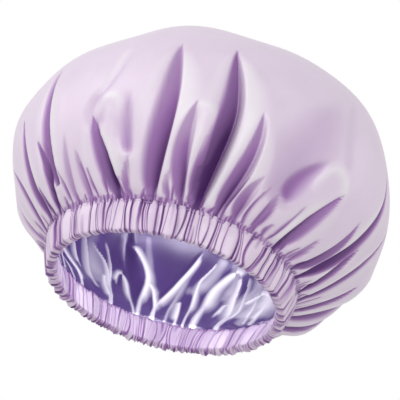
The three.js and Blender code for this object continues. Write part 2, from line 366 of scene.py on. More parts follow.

# %% [markdown]
# A fold is added to the crown as a depth below its resting form. Along the fold, width and depth grow and
# fade together, so its wall keeps one steepness right up to its pointed tip. Where folds overlap, the deeper
# one wins, as it does in cloth. The ridge across from the broad wall swells a little and rolls over the fold.
# The same section gives the painted shade, from 0 on a crest to 1 deep inside, and the painted highlight
# where ridges gleam.

# %% Where one fold lies
SEAM_START = 0.4
SPINDLE_BLUNT = 0.02
SPINDLE_RISE = 0.55
SPINDLE_FALL = 0.8
SPINDLE_PEAK = 0.424
WIDEST_GATHER = 3.9


def fold_place(fold):
    """How full a fold is in each row, how wide its broad wall is, and how many widths off each point is."""
    width = fold[5]
    along, inside, path = fold_track(fold)
    start = SEAM_START if fold[3] == 0 else 0.0
    spindle = (along + SPINDLE_BLUNT) ** SPINDLE_RISE * (1 - along) ** SPINDLE_FALL / SPINDLE_PEAK
    grow = np.where(inside, np.maximum(spindle, start * (1 - along) ** 3), 0)
    broad = np.maximum(abs(width) * MM * grow, 1e-6)[:, None]
    is_gather = abs(width) < WIDEST_GATHER
    columns = seam_angle if is_gather else column_angle
    across = np.radians(turn_between(columns, path[:, None])) * row_radius[:, None] / broad
    return grow, broad, math.copysign(1, width) * across


# %% Depth of one fold
RIDGE_WALL = 0.42
RIDGE_ROLL = 0.24
RIDGE_SWELL = 0.1
FAR_SWELL = 0.3
BROAD_CURVE = 1.25
NARROW_CURVE = 1.5


def fold_walls(across):
    """How near a fold's bottom each point is: on its broad wall, on its narrow one and in a soft trough."""
    broad_wall = np.clip(1 + across, 0, 1)
    narrow_wall = np.clip(1 - across / RIDGE_WALL, 0, 1)
    trough = 0.5 + 0.5 * np.cos(np.pi * np.clip(1.1 * across + 0.5, -1, 1))
    return broad_wall, narrow_wall, trough


def fold_shape(fold):
    """Depth, swell and sideways roll of one fold, each on the grid of rows and columns."""
    width, steepness, softness, _ = fold[5:]
    inside = fold_track(fold)[1][:, None]
    _, broad, across = fold_place(fold)
    broad_wall, narrow_wall, trough = fold_walls(across)
    crispness = 1 - softness
    crisp = np.where(across < 0, broad_wall ** BROAD_CURVE, narrow_wall ** NARROW_CURVE)
    section = crispness * crisp + softness * trough
    depth = broad * steepness * inside
    swell = hill(across, 1.1, 0.6) + FAR_SWELL * hill(across, -1.5, 0.6)
    roll = np.where(across > 0, 1 - narrow_wall ** NARROW_CURVE, 0) * smooth(1.3, 0.4, across) * inside
    sideways = math.copysign(1, width) * RIDGE_ROLL * broad * roll * crispness
    return depth * section, RIDGE_SWELL * depth * swell * crispness, sideways


# %% Painted shade and painted highlight of one fold
FACET_EDGE = 0.9 * MM
TIP_PAINTED_SHADE = 0.75
SEAM_EXTRA_SHADE = 0.5
VALLEY_PAINTED_SHADE = 0.75
FAR_PAINTED_HIGHLIGHT = 0.4


def fold_shade_and_highlight(fold):
    """Painted shade and painted highlight of one fold, each on the grid of rows and columns."""
    _, steepness, softness, painted_darkness = fold[5:]
    along, inside, _ = fold_track(fold)
    grow, broad, across = fold_place(fold)
    broad_wall, narrow_wall, trough = fold_walls(across)
    crispness = 1 - softness
    low_share = 1 - along[:, None]
    # painted shade: darker towards the seam and along the valley, and under the rolled ridge
    tone = painted_darkness * (TIP_PAINTED_SHADE + SEAM_EXTRA_SHADE * low_share ** 1.5)
    valley = painted_darkness * VALLEY_PAINTED_SHADE * smooth(0.45, 1.0, broad_wall) * smooth(0.25, 0.8, low_share)
    edge = np.maximum(0.1, FACET_EDGE / broad)
    facet = smooth(0.0, 0.4, broad_wall) * smooth(edge, -edge, across)
    under_ridge = np.where(across > 0, narrow_wall ** 2, 0) * painted_darkness * low_share ** 0.7
    shade = crispness * np.maximum(facet * (tone + valley), under_ridge)
    shade = shade + softness * trough * tone * smooth(0, 0.8, grow)[:, None]
    # painted highlight on the ridge beside the fold and, weaker, beyond the broad wall
    lit = hill(across, 0.6, 0.4) + FAR_PAINTED_HIGHLIGHT * hill(across, -1.3, 0.3)
    lit = lit * crispness * smooth(2 * MM, 9 * MM, broad * steepness * inside[:, None])
    return shade * smooth(0.3 * MM, 1.5 * MM, broad), lit


# %% Helpers for the crown's grid
PUCKER_COUNT = 210
PUCKER_SWAYS = 17


def above_seam(length):
    """0 at the seam and 1 from a length in millimetres above it, for each row of the crown."""
    return smooth(0, length * MM, row_length)[:, None]


def blur_round(grid):
    """A grid with each value softened by its neighbours round the cap."""
    return (np.roll(grid, 1, 1) + 2 * grid + np.roll(grid, -1, 1)) / 4


def pucker_wave(degrees):
    """The uneven puckers of a sewn edge, from -1 to 1."""
    turn = np.radians(degrees)
    return np.cos(turn * PUCKER_COUNT + 2 * np.sin(turn * PUCKER_SWAYS))


# %% All folds together
DEEPEST_WINS = 4
SEAM_FLAT = 0.3
# depth, swell and roll are real shape; shade and gleam are painted shade and painted highlight
depth_sum, fold_swell, fold_roll, painted_fold_shade, painted_fold_highlight = np.zeros((5, ROWS, COLUMNS))
for fold in FOLDS + gathers:
    depth, swell, roll = fold_shape(fold)
    shade, lit = fold_shade_and_highlight(fold)
    depth_sum += depth ** DEEPEST_WINS
    fold_swell += swell
    fold_roll = np.where(abs(roll) > abs(fold_roll), roll, fold_roll)
    painted_fold_shade = np.maximum(painted_fold_shade, shade)
    painted_fold_highlight = np.maximum(painted_fold_highlight, lit)
fold_depth = blur_round(depth_sum ** (1 / DEEPEST_WINS))
# a painted shadow along the seam, darkest between the puckers
notches = smooth(-0.2, 0.9, -pucker_wave(seam_angle))
painted_seam_shadow = smooth(3.0 * MM, 0.3 * MM, row_length)[:, None] * (0.25 + 0.6 * notches)
painted_fold_shade = np.clip(np.maximum(painted_fold_shade, painted_seam_shadow), 0, 1)
fold_swell *= above_seam(9)
fold_depth *= SEAM_FLAT + (1 - SEAM_FLAT) * above_seam(8)
print(f"deepest fold {fold_depth.max():.4f}, highest swell {fold_swell.max():.4f}")

# %% [markdown]
# The smooth top isn't a perfect ball either: it slumps in wide, shallow waves, and it has a few flat
# stretches and fuller places, which are listed with their angle, height, reach and lift.

# %% Wide waves, flat stretches and full places
WAVE_COUNT = 9
WAVE_HEIGHT = 0.9 * MM
PUSHES = [
    (52, 142, 36, 4.5),
    (5, 166, 30, -3.5),
    (-44, 150, 30, -4.0),
    (-80, 95, 22, 2.5),
    (-95, 62, 20, -3.5),
    (-118, 40, 16, -2.5),
    (124, 42, 26, 11.0),
    (138, 30, 16, 4.0),
    (104, 62, 26, 5.0),
]
dice = np.random.default_rng(5)
directions = dice.normal(size=(WAVE_COUNT, 3))
directions /= np.linalg.norm(directions, axis=1, keepdims=True)
wave_number = dice.uniform(20, 42, WAVE_COUNT)
wave_phase = dice.uniform(0, 2 * np.pi, WAVE_COUNT)


def on_crown(angle, height):
    """A place on the crown's resting form, at an angle and a height in millimetres."""
    return round_cap(angle, np.interp(height * MM, walk_height, walk_radius), height * MM)


base = round_cap(column_angle, row_radius[:, None], row_height[:, None])
slump = sum(np.cos(n * (base @ d) + p) for d, n, p in zip(directions, wave_number, wave_phase))
slump *= WAVE_HEIGHT * smooth(10 * MM, 60 * MM, row_length)[:, None] / math.sqrt(WAVE_COUNT / 2)
for angle, height, reach, lift in PUSHES:
    away = np.linalg.norm(base - on_crown(angle, height), axis=-1)
    slump += lift * MM * hill(away, 0, reach * MM) * above_seam(12)
print(f"slump from {slump.min():.4f} to {slump.max():.4f}")

# %% [markdown]
# Some ridges of the smooth part stand alone: rounded arches where a fold ends, and a long bend across the
# left. Each is a line through a few points of an angle and a height, with a width and a rise. Satin gleams on
# a ridge, so these get a painted highlight, stored as a paler value, and so do the ridges that swell beside
# the folds.

# %% Lines on the crown
LINE_POINTS = 40
LINE_SOFTENING = 12


def line_on_crown(points):
    """A smooth row of places on the crown's resting form through a few angles and heights."""
    stops = np.linspace(0, 1, len(points))
    share = np.linspace(0, 1, LINE_POINTS)
    angle, height = (np.interp(share, stops, values) for values in np.transpose(points))
    for _ in range(LINE_SOFTENING):
        angle[1:-1] = (angle[:-2] + 2 * angle[1:-1] + angle[2:]) / 4
        height[1:-1] = (height[:-2] + 2 * height[1:-1] + height[2:]) / 4
    return on_crown(angle, height)


def line_gap(places, line):
    """Each place's distance from a line, how far along the line it is, and on which side, 1 or -1."""
    gap = np.full(len(places), np.inf)
    along = np.zeros(len(places))
    side = np.zeros(len(places))
    turn = np.arctan2(places[:, 0], -places[:, 1])
    onwards = np.stack([np.cos(turn), np.sin(turn), 0 * turn], -1)
    for k, (start, step) in enumerate(zip(line[:-1], np.diff(line, axis=0))):
        share = np.clip((places - start) @ step / (step @ step), 0, 1)
        away = places - start - share[:, None] * step
        here = np.linalg.norm(away, axis=-1)
        closer = here < gap
        side[closer] = np.sign((away * onwards).sum(-1))[closer]
        gap[closer] = here[closer]
        along[closer] = (k + share[closer]) / (len(line) - 1)
    return gap, along, side


# %% Rounded ridges and the painted highlight of all ridges
RIDGES = [
    (3.0, 0.9, [(-31, 120), (-33, 97), (-37, 74)]),
    (3.2, 1.3, [(-38, 54), (-37, 66), (-34, 75), (-30, 75), (-28, 68), (-27, 55), (-27, 42), (-28, 30)]),
    (2.8, 1.1, [(-7, 62), (-6, 72), (-4, 75), (-1, 71), (0, 60), (1, 45), (2, 32)]),
    (3.4, 1.3, [(36, 50), (36, 63), (38, 71), (42, 71), (46, 63), (47, 54)]),
]
RIDGE_PAINTED_HIGHLIGHT = 0.5
painted_gleam = painted_fold_highlight * above_seam(9)
for width, rise, points in RIDGES:
    gap, place, _ = line_gap(base.reshape(-1, 3), line_on_crown(points))
    ridge = hill(gap, 0, width * MM) * smooth(0, 0.2, place) * smooth(1, 0.8, place)
    ridge = ridge.reshape(ROWS, COLUMNS)
    slump += rise * MM * ridge
    painted_gleam = np.maximum(painted_gleam, ridge)
# painted shade of the folds, lightened by the painted highlight of the ridges
crown_painted_light = painted_fold_shade - RIDGE_PAINTED_HIGHLIGHT * painted_gleam * smooth(0.5, 0, painted_fold_shade)
print(len(RIDGES), f"rounded ridges, shade from {crown_painted_light.min():.2f} to {crown_painted_light.max():.2f}")

# %% [markdown]
# ## Three layers of cloth
# The shell, a waterproof film and the lining are sewn together at the brim, and each lies a little further
# in than the last. The depth is measured along arms from the middle of the crown, so that no layer can cut
# through another, however deep the fold. The lining hangs loose, so its folds are rounder than the shell's:
# it keeps clear of them by the greatest depth nearby, smoothed.

# %% Outer face of the crown
LEAST_STEP = 0.4
EASING_ROUNDS = 60


def crown_face(lengths, angle, lift):
    """The crown's resting form at lengths from the seam, lifted outwards, with the crown's slight lean."""
    profile = (row_radius, row_height, row_slope, row_lean)
    radius, height, slope, lean = (np.interp(lengths, row_length, values)[:, None] for values in profile)
    face = round_cap(angle, radius + np.sin(slope) * lift, height - np.cos(slope) * lift)
    face[..., 0] += lean
    return face


own_step = np.diff(column_angle, axis=1, append=column_angle[:, :1] + 360)
rolled_angle = column_angle - np.degrees(fold_roll / row_radius[:, None])
for _ in range(EASING_ROUNDS):
    rolled_step = np.diff(rolled_angle, axis=1, append=rolled_angle[:, :1] + 360)
    lack = np.maximum(LEAST_STEP * own_step - rolled_step, 0) / 2
    rolled_angle = rolled_angle - lack + np.roll(lack, 1, 1)
print(f"rolled ridges leave at least {(rolled_step / own_step).min():.2f} of a column's width")
outer_face = crown_face(row_length, rolled_angle, fold_swell + slump - fold_depth)

# %% Looser folds of the lining
LINING_ROUNDING = 8
LINING_SMOOTHING = 30
nearby = range(-LINING_ROUNDING, LINING_ROUNDING + 1)
lining_depth = np.max([np.roll(fold_depth, k, 1) for k in nearby], axis=0)
for _ in range(LINING_SMOOTHING):
    lining_depth = blur_round(lining_depth)
    lining_depth[1:-1] = (lining_depth[:-2] + 2 * lining_depth[1:-1] + lining_depth[2:]) / 4
lining_depth = lining_depth + np.maximum(fold_depth - lining_depth, 0)
print(f"lining up to {(lining_depth - fold_depth).max():.4f} further in than the shell's folds")

# %% Sheets of the crown
HEM_LENGTH = 5.5 * MM
HEM_ROWS = 3
HEM_DROP = 1.5 * MM
BAND_FLARE = math.radians(18)
THINNING = ((32, 7), (16, 14), (8, 28), (4, 52), (2, 92))
bulge_centre = np.array([0, 0, bulge_height])


def points_kept(length):
    """One in how many columns a row of the crown keeps, so that columns don't crowd at the middle."""
    if np.interp(length, walk, walk_height) > bulge_height:
        for every, limit in THINNING:
            if np.interp(length, walk, walk_radius) < limit * MM:
                return every
    return 1


def with_hem(face, angle, lengths, shade):
    """A face of the crown with the hem below it: its points, cloth map and painted shades, row by row."""
    hem_back = HEM_LENGTH * np.arange(HEM_ROWS, 0, -1)[:, None] / HEM_ROWS + HEM_DROP
    hem_radius = EXIT_RADIUS - hem_back * math.sin(BAND_FLARE)
    hem_angle = angle[:1] + 0 * hem_back
    hem = round_cap(hem_angle, hem_radius, EXIT_HEIGHT - hem_back * math.cos(BAND_FLARE))
    all_lengths = np.concatenate([-hem_back, lengths[:, None]])
    cloth_map = round_cap(np.concatenate([hem_angle, angle]), meridian - all_lengths, 0)[..., :2]
    all_shades = np.concatenate([np.repeat(shade[:1], HEM_ROWS, 0), shade])
    return np.concatenate([hem, face]), cloth_map, all_shades


def skin_faces(rings, middle):
    """Faces of one skin of a sheet, from the ring at its hem to the point in its middle."""
    faces = []
    for lower, upper in zip(rings[:-1], rings[1:]):
        faces += ring_faces(lower, upper)
    return faces + [[a, b, middle] for a, b in zip(rings[-1], np.roll(rings[-1], -1))]


# %% [markdown]
# A sheet has an outer and an inner skin. A depth for each point can sink it further in, and the outer skin
# may keep only one column in so many where it is hidden.

# %% One sheet of the crown
def crown_sheet(name, face, angle, lengths, below, thickness, shade, inward=0.0, outer_every=1):
    """A closed sheet that lies a set depth below a face of the crown, with its hem caught in the brim."""
    whole, cloth_map, all_shades = with_hem(face, angle, lengths, shade)
    further = np.concatenate([np.zeros((HEM_ROWS, angle.shape[1])), inward + 0 * shade])
    arms = whole - bulge_centre
    reach = np.linalg.norm(arms, axis=-1)
    keeps = [1] * HEM_ROWS + [points_kept(length) for length in lengths]
    points, uv, shades, skins = [], [], [], []
    for depth, every in ((below, outer_every), (below + thickness, 1)):
        placed = bulge_centre + arms * (1 - (depth + further) / reach)[..., None]
        rings = []
        for row, keep in enumerate(keeps):
            chosen = slice(None, None, max(keep, every))
            rings.append(np.arange(len(placed[row, chosen])) + len(points))
            points.extend(placed[row, chosen])
            uv.extend(cloth_map[row, chosen])
            shades.extend(all_shades[row, chosen])
        skins.append((rings, len(points)))
        points.append(placed[-1].mean(0))
        uv.append((0, 0))
        shades.append(shade[-1].mean())
    (outer_rings, outer_middle), (inner_rings, inner_middle) = skins
    faces = skin_faces(outer_rings, outer_middle)
    faces += [face[::-1] for face in skin_faces(inner_rings, inner_middle)]
    faces += ring_faces(inner_rings[0], outer_rings[0])
    # the stored fold value carries each point's painted shade and painted highlight
    return new_piece(name, points, faces, uv, fold=shades)


# %% Shell and film
SATIN_THICKNESS = 0.4 * MM
FILM_THICKNESS = 0.2 * MM
FILM_BELOW = 0.9 * MM
LINING_BELOW = 1.6 * MM
outer_grid = (outer_face, column_angle, row_length)
shell = crown_sheet("satin_shell", *outer_grid, 0, SATIN_THICKNESS, crown_painted_light)
membrane = crown_sheet("film_layer", *outer_grid, FILM_BELOW, FILM_THICKNESS, 0 * painted_fold_shade)
for piece in (shell, membrane):
    print(piece.name, len(piece.data.polygons), "faces")

# %% [markdown]
# ## The lining
# The lining's satin is glossier and darker than the shell's. Its loose cloth stands in thin, bent ridges that
# gleam almost white, a painted highlight. The ones on the far wall, which the photograph shows, are drawn one
# by one. A row holds a width, a gleam, the side on which the gleam fades softly, and points of an angle and a
# height. The last six are broad, low swells with a painted highlight all over, so they have no soft side: 0.
# The lines of the other walls come from a seeded loop. Each line is a real ridge, and its gleam is a painted
# highlight stored on the cloth as a paler value; beside the lines and towards the top a painted shade darkens
# it.

# %% Lines of the lining
STREAKS = [
    (2.2, 0.8, 1, [(218, 92), (218, 66), (218, 46)]),
    (2.0, 0.8, 1, [(213, 95), (209, 87), (204, 81), (202, 69), (202, 57), (206, 23)]),
    (1.7, 0.85, 1, [(207, 102), (203, 92), (201, 76), (201, 62), (205, 23)]),
    (2.6, 1.0, -1, [(198, 106), (194, 100), (190, 88), (188, 75), (188, 58), (191, 23)]),
    (1.8, 1.0, -1, [(188, 70), (185, 58), (183, 23)]),
    (4.5, 0.35, -1, [(195, 124), (191, 107), (188, 88), (187, 70)]),
    (1.9, 0.85, 1, [(200, 50), (199, 64), (198, 72), (196, 74), (194, 64), (193, 23)]),
    (1.8, 0.8, 1, [(203, 66), (206, 23)]),
    (4.0, 0.6, 1, [(214, 100), (211, 70), (211, 34)]),
    (2.2, 1.0, -1, [(170, 122), (173, 103), (176, 85), (178, 68), (180, 53), (184, 23)]),
    (1.8, 0.5, -1, [(170, 112), (174, 88), (176, 60), (177, 23)]),
    (1.8, 0.95, -1, [(164, 116), (167, 101), (170, 87), (170, 70), (168, 23)]),
    (4.0, 1.0, -1, [(155, 92), (156, 101), (159, 102), (161, 96), (164, 83), (165, 67), (163, 23)]),
    (3.2, 0.95, 1, [(156, 101), (155, 92), (155, 80), (155, 67), (151, 23)]),
    (1.9, 0.95, -1, [(153, 104), (153, 89), (153, 75), (150, 23)]),
    (3.4, 1.0, -1, [(142, 74), (145, 81), (148, 83), (150, 77), (153, 63)]),
    (1.9, 0.95, 1, [(148, 78), (147, 67), (143, 34)]),
    (2.6, 0.95, 1, [(143, 82), (143, 68), (141, 36)]),
    (1.8, 0.85, -1, [(158, 34), (158, 59), (156, 62), (155, 46)]),
    (1.8, 0.85, 1, [(174, 52), (172, 23)]),
    (7.0, 0.6, -1, [(149, 98), (152, 82), (154, 62), (153, 38)]),
    (6.0, 0.6, 1, [(146, 84), (146, 62), (144, 32)]),
    (15.0, 0.5, 0, [(211, 106), (209, 76), (207, 50)]),
    (9.0, 0.55, 0, [(192, 122), (189, 96), (188, 78)]),
    (12.0, 0.7, 0, [(162, 118), (166, 92), (170, 72)]),
    (13.0, 0.68, 0, [(159, 118), (157, 88), (158, 70)]),
    (14.0, 0.66, 0, [(150, 118), (149, 90), (148, 68)]),
    (17.0, 0.85, 0, [(143, 108), (144, 80), (143, 54)]),
]
OTHER_STREAKS = 34
dice = np.random.default_rng(41)
for k in range(OTHER_STREAKS):
    angle = -138 + 272 * (k + dice.uniform(-0.3, 0.3)) / OTHER_STREAKS
    drift = dice.uniform(-5, 5)
    top = dice.uniform(70, 120)
    line = [(angle + drift, top), (angle + 0.2 * drift, 0.4 * top + 20), (angle, 23)]
    STREAKS.append((dice.uniform(1.4, 2.6), dice.uniform(0.5, 1.0), dice.choice([-1, 1]), line))
print(len(STREAKS), "lines")

# %% Grid of the lining, finer where its lines are bent
LINING_COLUMNS = 640
LINING_ROWS = (80, 24)
LINED_LENGTH = 124 * MM
FAR_WALL = (136, 224)
FAR_CROWDING = 4.0
FAR_MARGIN = 12
far_share = smooth(FAR_WALL[0] - FAR_MARGIN, FAR_WALL[0], dense_angle % 360)
far_share = far_share * smooth(FAR_WALL[1] + FAR_MARGIN, FAR_WALL[1], dense_angle % 360)
lining_angle = spread_columns(LINING_COLUMNS, 1 + FAR_CROWDING * far_share)
lower_lengths = np.linspace(0, LINED_LENGTH, LINING_ROWS[0], endpoint=False)
upper_lengths = np.linspace(LINED_LENGTH, row_length[-1], LINING_ROWS[1])
lining_lengths = np.concatenate([lower_lengths, upper_lengths])


def on_lining(grid):
    """A grid of the crown's rows and columns, read at the rows and columns of the lining."""
    rows = zip(column_angle, grid)
    turned = np.stack([np.interp(lining_angle, angles, row, period=360) for angles, row in rows])
    return np.stack([np.interp(lining_lengths, row_length, column) for column in turned.T], -1)


lining_lift = on_lining(slump - lining_depth)
lining_angles = lining_angle + 0 * lining_lift
lining_face = crown_face(lining_lengths, lining_angles, lining_lift)
lining_place = crown_face(lining_lengths, lining_angles, 0 * lining_lift)
print(f"lining rows {np.diff(lining_lengths)[0]:.4f} to {np.diff(lining_lengths)[-1]:.4f} apart")

# %% Ridges, painted highlight and painted shade of the lining
LINING_HOLLOW_SHADE = 0.16
STREAK_HIGHLIGHT = 0.86
HIGHLIGHT_GLOW = 0.8
INNER_HIGHLIGHT_GLOW = 0.3
HIGH_PAINTED_SHADE = 0.3
HIGHLIGHT_CORE = 0.8
STREAK_RISE = 0.45
WIDEST_RISE = 4.0
STREAK_REACH = 8
# each line gets a painted highlight, a core and a glow on its soft side, and a painted shade in the hollow on
# its other side
painted_gleam, hollow_shade, ridge = np.zeros((3, *lining_place.shape[:2]))
for width, strength, soft_side, points in STREAKS:
    line = line_on_crown(points)
    middle = line[len(line) // 2]
    reach = np.linalg.norm(line - middle, axis=-1).max() + STREAK_REACH * width * MM
    near = np.linalg.norm(lining_place - middle, axis=-1) < reach
    gap, place, side = line_gap(lining_place[near], line)
    gap = gap / (width * MM)
    fade = strength * smooth(-0.05, 0.15, place) * (1 - 0.2 * smooth(0.75, 1, place))
    soft = np.where(side == soft_side, 1, 0) * smooth(0, 0.2, place) * smooth(1, 0.85, place)
    highlight_glow = soft * (HIGHLIGHT_GLOW * hill(gap, 0, 3) + INNER_HIGHLIGHT_GLOW * hill(gap, 0, 1.2))
    highlight_glow = np.maximum(hill(gap, 0, HIGHLIGHT_CORE), highlight_glow)
    painted_gleam[near] = np.maximum(painted_gleam[near], STREAK_HIGHLIGHT * fade * highlight_glow)
    hollow_shade[near] = np.maximum(hollow_shade[near], fade * (1 - soft) * hill(gap, 2, 1.6))
    rise = STREAK_RISE * min(width, WIDEST_RISE) * MM
    ridge[near] = np.maximum(ridge[near], fade * rise * hill(gap, 0, 1.8))
# a painted shade that deepens towards the top of the lining
upper_shade_share = smooth(60 * MM, 120 * MM, lining_place[..., 2])
painted_darkening = (LINING_HOLLOW_SHADE * hollow_shade + HIGH_PAINTED_SHADE * upper_shade_share) * (1 - painted_gleam)
lining_painted_light = np.clip(0.5 - 0.5 * painted_gleam + painted_darkening, 0, 1)
lining_grid = (lining_face, lining_angles, lining_lengths)
lining = crown_sheet(
    "satin_lining", *lining_grid, LINING_BELOW, SATIN_THICKNESS, lining_painted_light, ridge, outer_every=2
)
print(lining.name, len(lining.data.polygons), f"faces, ridges up to {ridge.max():.4f}")

# %% [markdown]
# ## The brim
# The brim is one long strip of satin, folded in half round the elastic. The elastic pulls it to about three
# quarters of its length, so it stands in ribs between sharp creases. The creases run across the outer wall,
# round the folded edge and up the inner wall. They are never even: widths differ, most lean or bow. Seeded
# draws give each crease its own place and lean. The columns of the mesh follow the creases, close together
# beside them, which keeps them sharp.

# %% Creases of the brim
BAND_LENGTH = 23.4 * MM
BAND_RADIUS = opening_radius + 3.0 * MM
RIB_COUNT = 144
RIB_COLUMNS = 8
WALL_STEPS = 32
NARROWEST_RIB = 1.5 * MM
SPREADING_ROUNDS = 40
degrees_per_metre = 360 / (2 * math.pi * BAND_RADIUS)
dice = np.random.default_rng(23)
rib_share = 0.35 + 1.9 * dice.random(RIB_COUNT) ** 2
crease_angle = 360 * np.cumsum(rib_share) / rib_share.sum() - 180
crease_lean = dice.normal(0, 1.2, (2, RIB_COUNT))
crease_lean[0] *= 1 + 1.5 * smooth(10, 45, crease_angle) * smooth(150, 120, crease_angle)
crease_bow = dice.normal(0, 0.8, (2, RIB_COUNT))
wall_level = np.linspace(0, 1, WALL_STEPS) ** 1.1
even = np.arange(RIB_COLUMNS) / RIB_COLUMNS
rib_across = even - 0.6 * np.sin(2 * np.pi * even) / (2 * np.pi)
print(RIB_COUNT, f"ribs, {360 / RIB_COUNT / degrees_per_metre:.4f} wide on average")


def crease_places(side, level):
    """Angles of the creases on the outer wall, 0, or inner one, 1, at a level from edge, 0, to seam, 1."""
    places = crease_angle + crease_lean[side] * level + crease_bow[side] * 4 * level * (1 - level)
    for _ in range(SPREADING_ROUNDS):
        rib_step = np.diff(places, append=places[0] + 360)
        lack = np.maximum(NARROWEST_RIB * degrees_per_metre - rib_step, 0) / 2
        places = places - lack + np.roll(lack, 1)
    return np.append(places, places[0] + 360)


# %% [markdown]
# Each rib is a little pleat of cloth with a steep flank on one side and a long slope on the other. Two in
# five are split part of the way by a shorter crease. Along the seam and the folded edge the cloth puckers.
# What differs from rib to rib is drawn first, for both walls, and then each wall is made level by level.

# %% What differs from rib to rib
SPLIT_SHARE = 0.4
rib_size = dice.uniform(0.7, 1.15, (2, RIB_COUNT, 1))
rib_peak = dice.uniform(0.1, 0.26, (2, RIB_COUNT, 1))
rib_peak = np.where(dice.random((2, RIB_COUNT, 1)) < 0.5, rib_peak, 1 - rib_peak)
# painted shade that differs from rib to rib: a tone of its own, a gradient down the slope, the dark line on
# the steep flank, the size of the dark notches and how the line tapers
rib_painted_shade = dice.uniform(-0.16, 0.08, (2, RIB_COUNT, 1))
flank_painted_shade = dice.uniform(-0.12, 0.26, (2, RIB_COUNT, 1))
flank_line_shade = dice.uniform(0.8, 1.15, (2, RIB_COUNT, 1))
split_place = dice.uniform(0.35, 0.65, (2, RIB_COUNT, 1))
split_length = dice.uniform(0.3, 0.9, (2, RIB_COUNT, 1))
split_depth = dice.uniform(0.4, 0.9, (2, RIB_COUNT, 1))
split_depth = split_depth * (dice.random((2, RIB_COUNT, 1)) < SPLIT_SHARE)
split_from_seam = dice.random((2, RIB_COUNT, 1)) < 0.5
notch_size = dice.uniform(0.2, 1.0, (2, RIB_COUNT, 1))
line_taper = dice.uniform(-1.1, 1.1, (2, RIB_COUNT, 1))
print((split_depth > 0).sum(), "ribs are split, on both walls together")

# %% Shape of the ribs
RIB_HEIGHT = 2.8 * MM
RIB_STEEPNESS = 0.42
PLEAT_CORNER = 6
SPLIT_WIDTH = 0.07


def rib_lift(side, level, width):
    """Height of the ribs of one wall at one level, for the widths they have there."""
    rise = np.maximum(rib_across / rib_peak[side], 0.01)
    fall = np.maximum((1 - rib_across) / (1 - rib_peak[side]), 0.01)
    pleat = (rise ** -PLEAT_CORNER + fall ** -PLEAT_CORNER) ** (-1 / PLEAT_CORNER)
    belly = 0.75 + 0.25 * math.sin(math.pi * min(level / 0.95, 1))
    return np.minimum(RIB_STEEPNESS * width, RIB_HEIGHT) * rib_size[side] * pleat * belly


def rib_split(side, level):
    """Depth of the shorter creases that split some of the ribs, as a share of the rib."""
    from_root = np.where(split_from_seam[side], 1 - level, level)
    split = split_depth[side] * np.clip(1 - from_root / split_length[side], 0, 1) ** 0.6
    return split * hill(rib_across, split_place[side], SPLIT_WIDTH)


def puckered(level):
    """How much the cloth puckers at one level: most at the folded edge and at the seam."""
    return max(smooth(0.14, 0, level), smooth(0.8, 1, level))


# %% Painted shade of the ribs
FLANK_LINE = 0.5 * MM
EDGE_WIDENING = 0.9
FLANK_PLACE = 0.4
CREASE_PAINTED_SHADE = 0.65
INNER_WALL_PAINTED_SHADE = 0.04
INNER_FADE = 0.4


def rib_painted_shade_row(side, level, width):
    """Painted shade of the ribs of one wall at one level: a line on the steep flank, the crease and the
    slope.
    """
    peak = rib_peak[side]
    faces_left = peak < 0.5
    steep_middle = np.where(faces_left, FLANK_PLACE * peak, 1 - FLANK_PLACE * (1 - peak))
    line_width = FLANK_LINE * (1 + EDGE_WIDENING * puckered(level))
    from_line = abs(rib_across - steep_middle) * width / line_width
    from_strong = np.where(line_taper[side] > 0, 1 - level, level)
    stroke = np.clip(1.1 - abs(line_taper[side]) * from_strong, 0.3, 1)
    line = flank_line_shade[side] * stroke * np.exp(-(from_line ** 4))
    from_crease = np.minimum(rib_across, 1 - rib_across) * width / (0.5 * line_width)
    line = np.maximum(line, CREASE_PAINTED_SHADE * hill(from_crease, 0, 1)) * (1 - INNER_FADE * side)
    slope = np.where(faces_left, 1 - rib_across, rib_across)
    # the inner wall gets a little extra painted shade
    return np.maximum(line, rib_painted_shade[side] + flank_painted_shade[side] * slope + INNER_WALL_PAINTED_SHADE * side)


# %% Rows of ribs
RIB_LEAN = 0.05
PUCKER_HEIGHT = 0.4 * MM
SPLIT_PAINTED_SHADE = 1.1
NOTCH_PAINTED_SHADE = 0.95
INNER_SEAM_SHADE = 0.5
RIGHT_SHADE_FADE = 0.3


def rib_row(side, level):
    """Angle, lift and painted shade of the ribs on one wall at one level, all the way round."""
    places = crease_places(side, level)
    step = np.diff(places)[:, None]
    angle = places[:-1, None] + step * rib_across
    width = step / degrees_per_metre
    split = rib_split(side, level)
    pucker = pucker_wave(angle)
    lift = rib_lift(side, level, width) * (1 - split) + PUCKER_HEIGHT * puckered(level) * pucker
    # painted shade in the notches of the puckers, in the split creases and along the seam of the inner wall
    notch = max(smooth(0.09, 0, level), smooth(0.86, 1, level)) * smooth(0.2, 0.9, -pucker)
    shade = np.maximum(rib_painted_shade_row(side, level, width), SPLIT_PAINTED_SHADE * split)
    shade = np.maximum(shade, NOTCH_PAINTED_SHADE * notch * notch_size[side])
    shade = np.maximum(shade, side * INNER_SEAM_SHADE * smooth(0.9, 1, level))
    # the painted shade of the ribs is lighter on the viewer's right
    shade = shade * (1 - RIGHT_SHADE_FADE * smooth(40, 75, angle) * smooth(150, 115, angle))
    over = np.where(rib_peak[side] < 0.5, -RIB_LEAN, RIB_LEAN)
    angle = angle + over * lift * degrees_per_metre
    return angle.ravel(), lift.ravel(), np.clip(shade, 0, 1).ravel()


rib_rows = [[rib_row(side, level) for level in wall_level] for side in (0, 1)]
print(f"rib lift up to {max(row[1].max() for rows in rib_rows for row in rows):.4f}")

# %% Walls of the brim
FOLD_ROUNDING = 1.8 * MM
POCKET = (3.0 * MM, 2.4 * MM)
PINCH = 1.5 * MM
EDGE_SCALLOP = 1.3 * MM
EDGE_STEPS = 3
SCALLOP_LEVEL = 0.2
VALLEY_SHARE = 0.4


